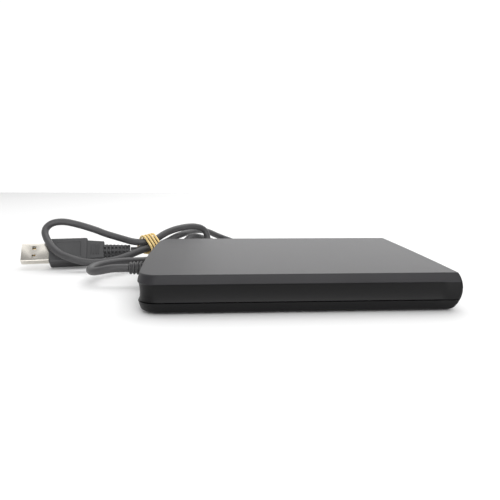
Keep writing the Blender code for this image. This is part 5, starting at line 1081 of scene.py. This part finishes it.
lens_green = speckled("lamp_lens", **LENS_FINISH)
lens_tip = front_face(LAMP_MIDDLE - FOOT_PROUD, LAMP_OFFSET) - BEZEL_RECESS + LAMP_PROUD
lens_start = SENSOR_BOARD_FRONT + FIT_GAP
collar_end = pocket_front - FIT_GAP - lens_start
lens_length = lens_tip - lens_start
lens = drawn_up("lens", [(0.0, LAMP_RADIUS), (collar_end - LAMP_FLANGE, LAMP_RADIUS),
                         (collar_end - LAMP_FLANGE + THIN_STEP, LAMP_RADIUS + LAMP_FLANGE),
                         (collar_end, LAMP_RADIUS + LAMP_FLANGE), (collar_end + THIN_STEP, LAMP_RADIUS),
                         (lens_length - LAMP_PROUD, LAMP_RADIUS),
                         (lens_length - LAMP_PROUD / 3, LAMP_RADIUS - LAMP_PROUD / 3),
                         (lens_length, LAMP_RADIUS - LAMP_PROUD)], LAMP_SIDES)
settle(lens, along_x((lens_start, -LAMP_OFFSET, LAMP_MIDDLE)), lens_green, "case",
       ["led_lens"])


def dress(material, *names):
    """the solid from the frame stays, with this finish"""
    for name in names:
        for place in nodes[name].material_slots:
            place.link = "OBJECT"
            place.material = material


# The chassis tray, its shield cover, the disk cage, the eject slide and the latch are pressed from
# zinc-plated sheet steel, with the soft mottling of the plating.
SPANGLE_FINISH = dict(dark=(0.46, 0.47, 0.48), pale=(0.62, 0.63, 0.64), roughness=0.36,
                      grain=1100.0, height=0.000015, metallic=1.0, cloud=240.0)

pressed = speckled("pressed_sheet", **SPANGLE_FINISH)
dress(pressed, "chassis", "shield_cover", "disk_cage", "eject_slide", "latch_lever")

# Springs, the carriage needle and the ground parts are drawn or turned steel, smoother and darker than
# the sheet.
WIRE_FINISH = dict(dark=(0.36, 0.36, 0.37), pale=(0.50, 0.50, 0.51), roughness=0.28, grain=2000.0,
                   height=0.00001, metallic=1.0, cloud=300.0)
GROUND_FINISH = dict(dark=(0.56, 0.56, 0.57), pale=(0.66, 0.66, 0.67), roughness=0.22,
                     grain=2600.0, height=0.00001, metallic=1.0, cloud=150.0)

wire = speckled("spring_wire", **WIRE_FINISH)
ground = speckled("ground_steel", **GROUND_FINISH)
dress(wire, "carriage_needle", "door_spring", "latch_spring")
dress(ground, "guide_rod", "lead_screw", "latch_post", "screw_bearing", "spindle_hub", "spindle_rotor",
      "stepper_motor", "crystal")

# Two coil springs lie along the slide's sides between a lug on the slide and one on the chassis. On the
# real drive they shorten as the slide comes forward; here they ride on the case at one length.
SPRING_REAR_LUG = 0.0086
SPRING_FRONT_LUG = 0.0308
LUG_THICKNESS = 0.0008
SPRING_AXIS_Y = 0.0446
SPRING_AXIS_Z = 0.0053
SPRING_RADIUS = 0.00072
SPRING_WIRE = 0.00018
SPRING_TURNS = 9
SPRING_POINTS = 24
SPRING_ROUNDNESS = 2
SPRING_SHARP = 60.0

spring_start = SPRING_REAR_LUG + LUG_THICKNESS + SPRING_WIRE + FIT_GAP / 2
spring_end = SPRING_FRONT_LUG - SPRING_WIRE - FIT_GAP / 2
spring_count = SPRING_TURNS * SPRING_POINTS
for side_name, side in (("left", -1), ("right", 1)):
    coil_points = []
    for index in range(spring_count + 1):
        angle = math.tau * index / SPRING_POINTS
        coil_points.append((spring_start + (spring_end - spring_start) * index / spring_count,
                            side * SPRING_AXIS_Y + SPRING_RADIUS * math.cos(angle),
                            SPRING_AXIS_Z + SPRING_RADIUS * math.sin(angle)))
    coil = tube(f"spring_{side_name}", coil_points, SPRING_WIRE, SPRING_ROUNDNESS, wire)
    bpy.ops.object.select_all(action="DESELECT")
    coil.select_set(True)
    bpy.context.view_layer.objects.active = coil
    bpy.ops.object.convert(target="MESH")
    coil = bpy.context.object
    settle(coil, Matrix(), wire, "case", [f"slide_spring_{side_name}"],
           SPRING_SHARP)
    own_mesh(coil)

# The spindle turns in a brass bearing inside the stator's copper windings, with a ring magnet of
# bonded ferrite under the rotor.
BRASS_FINISH = dict(dark=(0.55, 0.38, 0.15), pale=(0.72, 0.52, 0.24), roughness=0.30, grain=1500.0,
                    height=0.00001, metallic=1.0, cloud=120.0)
COPPER_FINISH = dict(dark=(0.42, 0.17, 0.08), pale=(0.68, 0.32, 0.18), roughness=0.38,
                     grain=5200.0, height=0.00008, metallic=1.0, cloud=700.0)
FERRITE_FINISH = dict(dark=(0.030, 0.030, 0.033), pale=(0.055, 0.055, 0.060), roughness=0.62,
                      grain=2600.0, height=0.00005)

turned_brass = speckled("turned_brass", **BRASS_FINISH)
copper = speckled("copper_winding", **COPPER_FINISH)
ferrite = speckled("ferrite", **FERRITE_FINISH)
dress(turned_brass, "spindle_bearing")
dress(copper, "stator")
dress(ferrite, "rotor_magnet")

# The head carriage and its upper arm are moulded in a dark glass-filled plastic, and the heads are
# pale ceramic sliders.
FILLED_FINISH = dict(dark=(0.020, 0.020, 0.022), pale=(0.050, 0.050, 0.053), roughness=0.58,
                     grain=1900.0, height=0.00004, cloud=500.0)
CERAMIC_FINISH = dict(dark=(0.62, 0.62, 0.58), pale=(0.74, 0.74, 0.71), roughness=0.30,
                      grain=3000.0, height=0.00001)

filled = speckled("filled_plastic", **FILLED_FINISH)
ceramic = speckled("head_ceramic", **CERAMIC_FINISH)
dress(filled, "head_carriage", "upper_head_arm")
dress(ceramic, "lower_head", "upper_head")

# The three boards are green lacquered laminate, with black chips and switches, white nylon plungers and
# socket, and a small green lamp.
LACQUER_FINISH = dict(dark=(0.008, 0.060, 0.028), pale=(0.020, 0.120, 0.055), roughness=0.30,
                      grain=900.0, height=0.00004, cloud=900.0)
NYLON_FINISH = dict(dark=(0.62, 0.62, 0.58), pale=(0.76, 0.76, 0.72), roughness=0.46, grain=1700.0,
                    height=0.00002)
EPOXY_FINISH = dict(dark=(0.012, 0.012, 0.012), pale=(0.026, 0.026, 0.027), roughness=0.55,
                    grain=3800.0, height=0.00003)

lacquer = speckled("board_lacquer", **LACQUER_FINISH)
nylon = speckled("nylon", **NYLON_FINISH)
epoxy = speckled("chip_epoxy", **EPOXY_FINISH)
dress(lacquer, "control_board", "motor_board", "sensor_board")
dress(nylon, "cord_socket", "write_plunger", "density_plunger", "disk_plunger")
dress(epoxy, "controller_chip", "bridge_chip", "write_switch", "density_switch", "disk_switch")
dress(lens_green, "activity_led")

# Inside the case the cord goes on as a thinner lead in the same jacket, from the strain relief down to
# its socket on the control board.
LEAD_DIAMETER = 0.0026
LEAD_ROUTE = ((-0.0614, -0.0010, 0.0098), (-0.0591, -0.0030, 0.0091), (-0.0576, -0.0056, 0.0082))
LEAD_STEP = 0.0005
BOARD_LOW = 0.0043
BOARD_SHEET = 0.0008
SOCKET_WIDTH = 0.0080
SOCKET_HEIGHT = 0.0040
SOCKET_X = -0.0570
SOCKET_Y = -0.0156

lead_x = (wall_inset(CASE_HEIGHT, SIDE_WALL_RADIUS) + CASE_WALL + 2 * FIT_GAP + RELIEF_FLANGE
          - CASE_LENGTH / 2)
lead_y = SOCKET_Y + SOCKET_WIDTH / 2 + FIT_GAP
lead_z = BOARD_LOW + BOARD_SHEET + FIT_GAP + SOCKET_HEIGHT / 2
lead_points = smooth_route(((lead_x + LEAD_DIAMETER, 0.0, CORD_EXIT[2]),) + LEAD_ROUTE
                           + ((SOCKET_X, lead_y + LEAD_DIAMETER, lead_z),), LEAD_STEP)
lead_points = [Vector((lead_x, 0.0, CORD_EXIT[2]))] + lead_points + [Vector((SOCKET_X, lead_y, lead_z))]
lead = tube("lead", lead_points, LEAD_DIAMETER / 2, CORD_ROUNDNESS, jacket)
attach(lead, "case")
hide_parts("cord_lead")
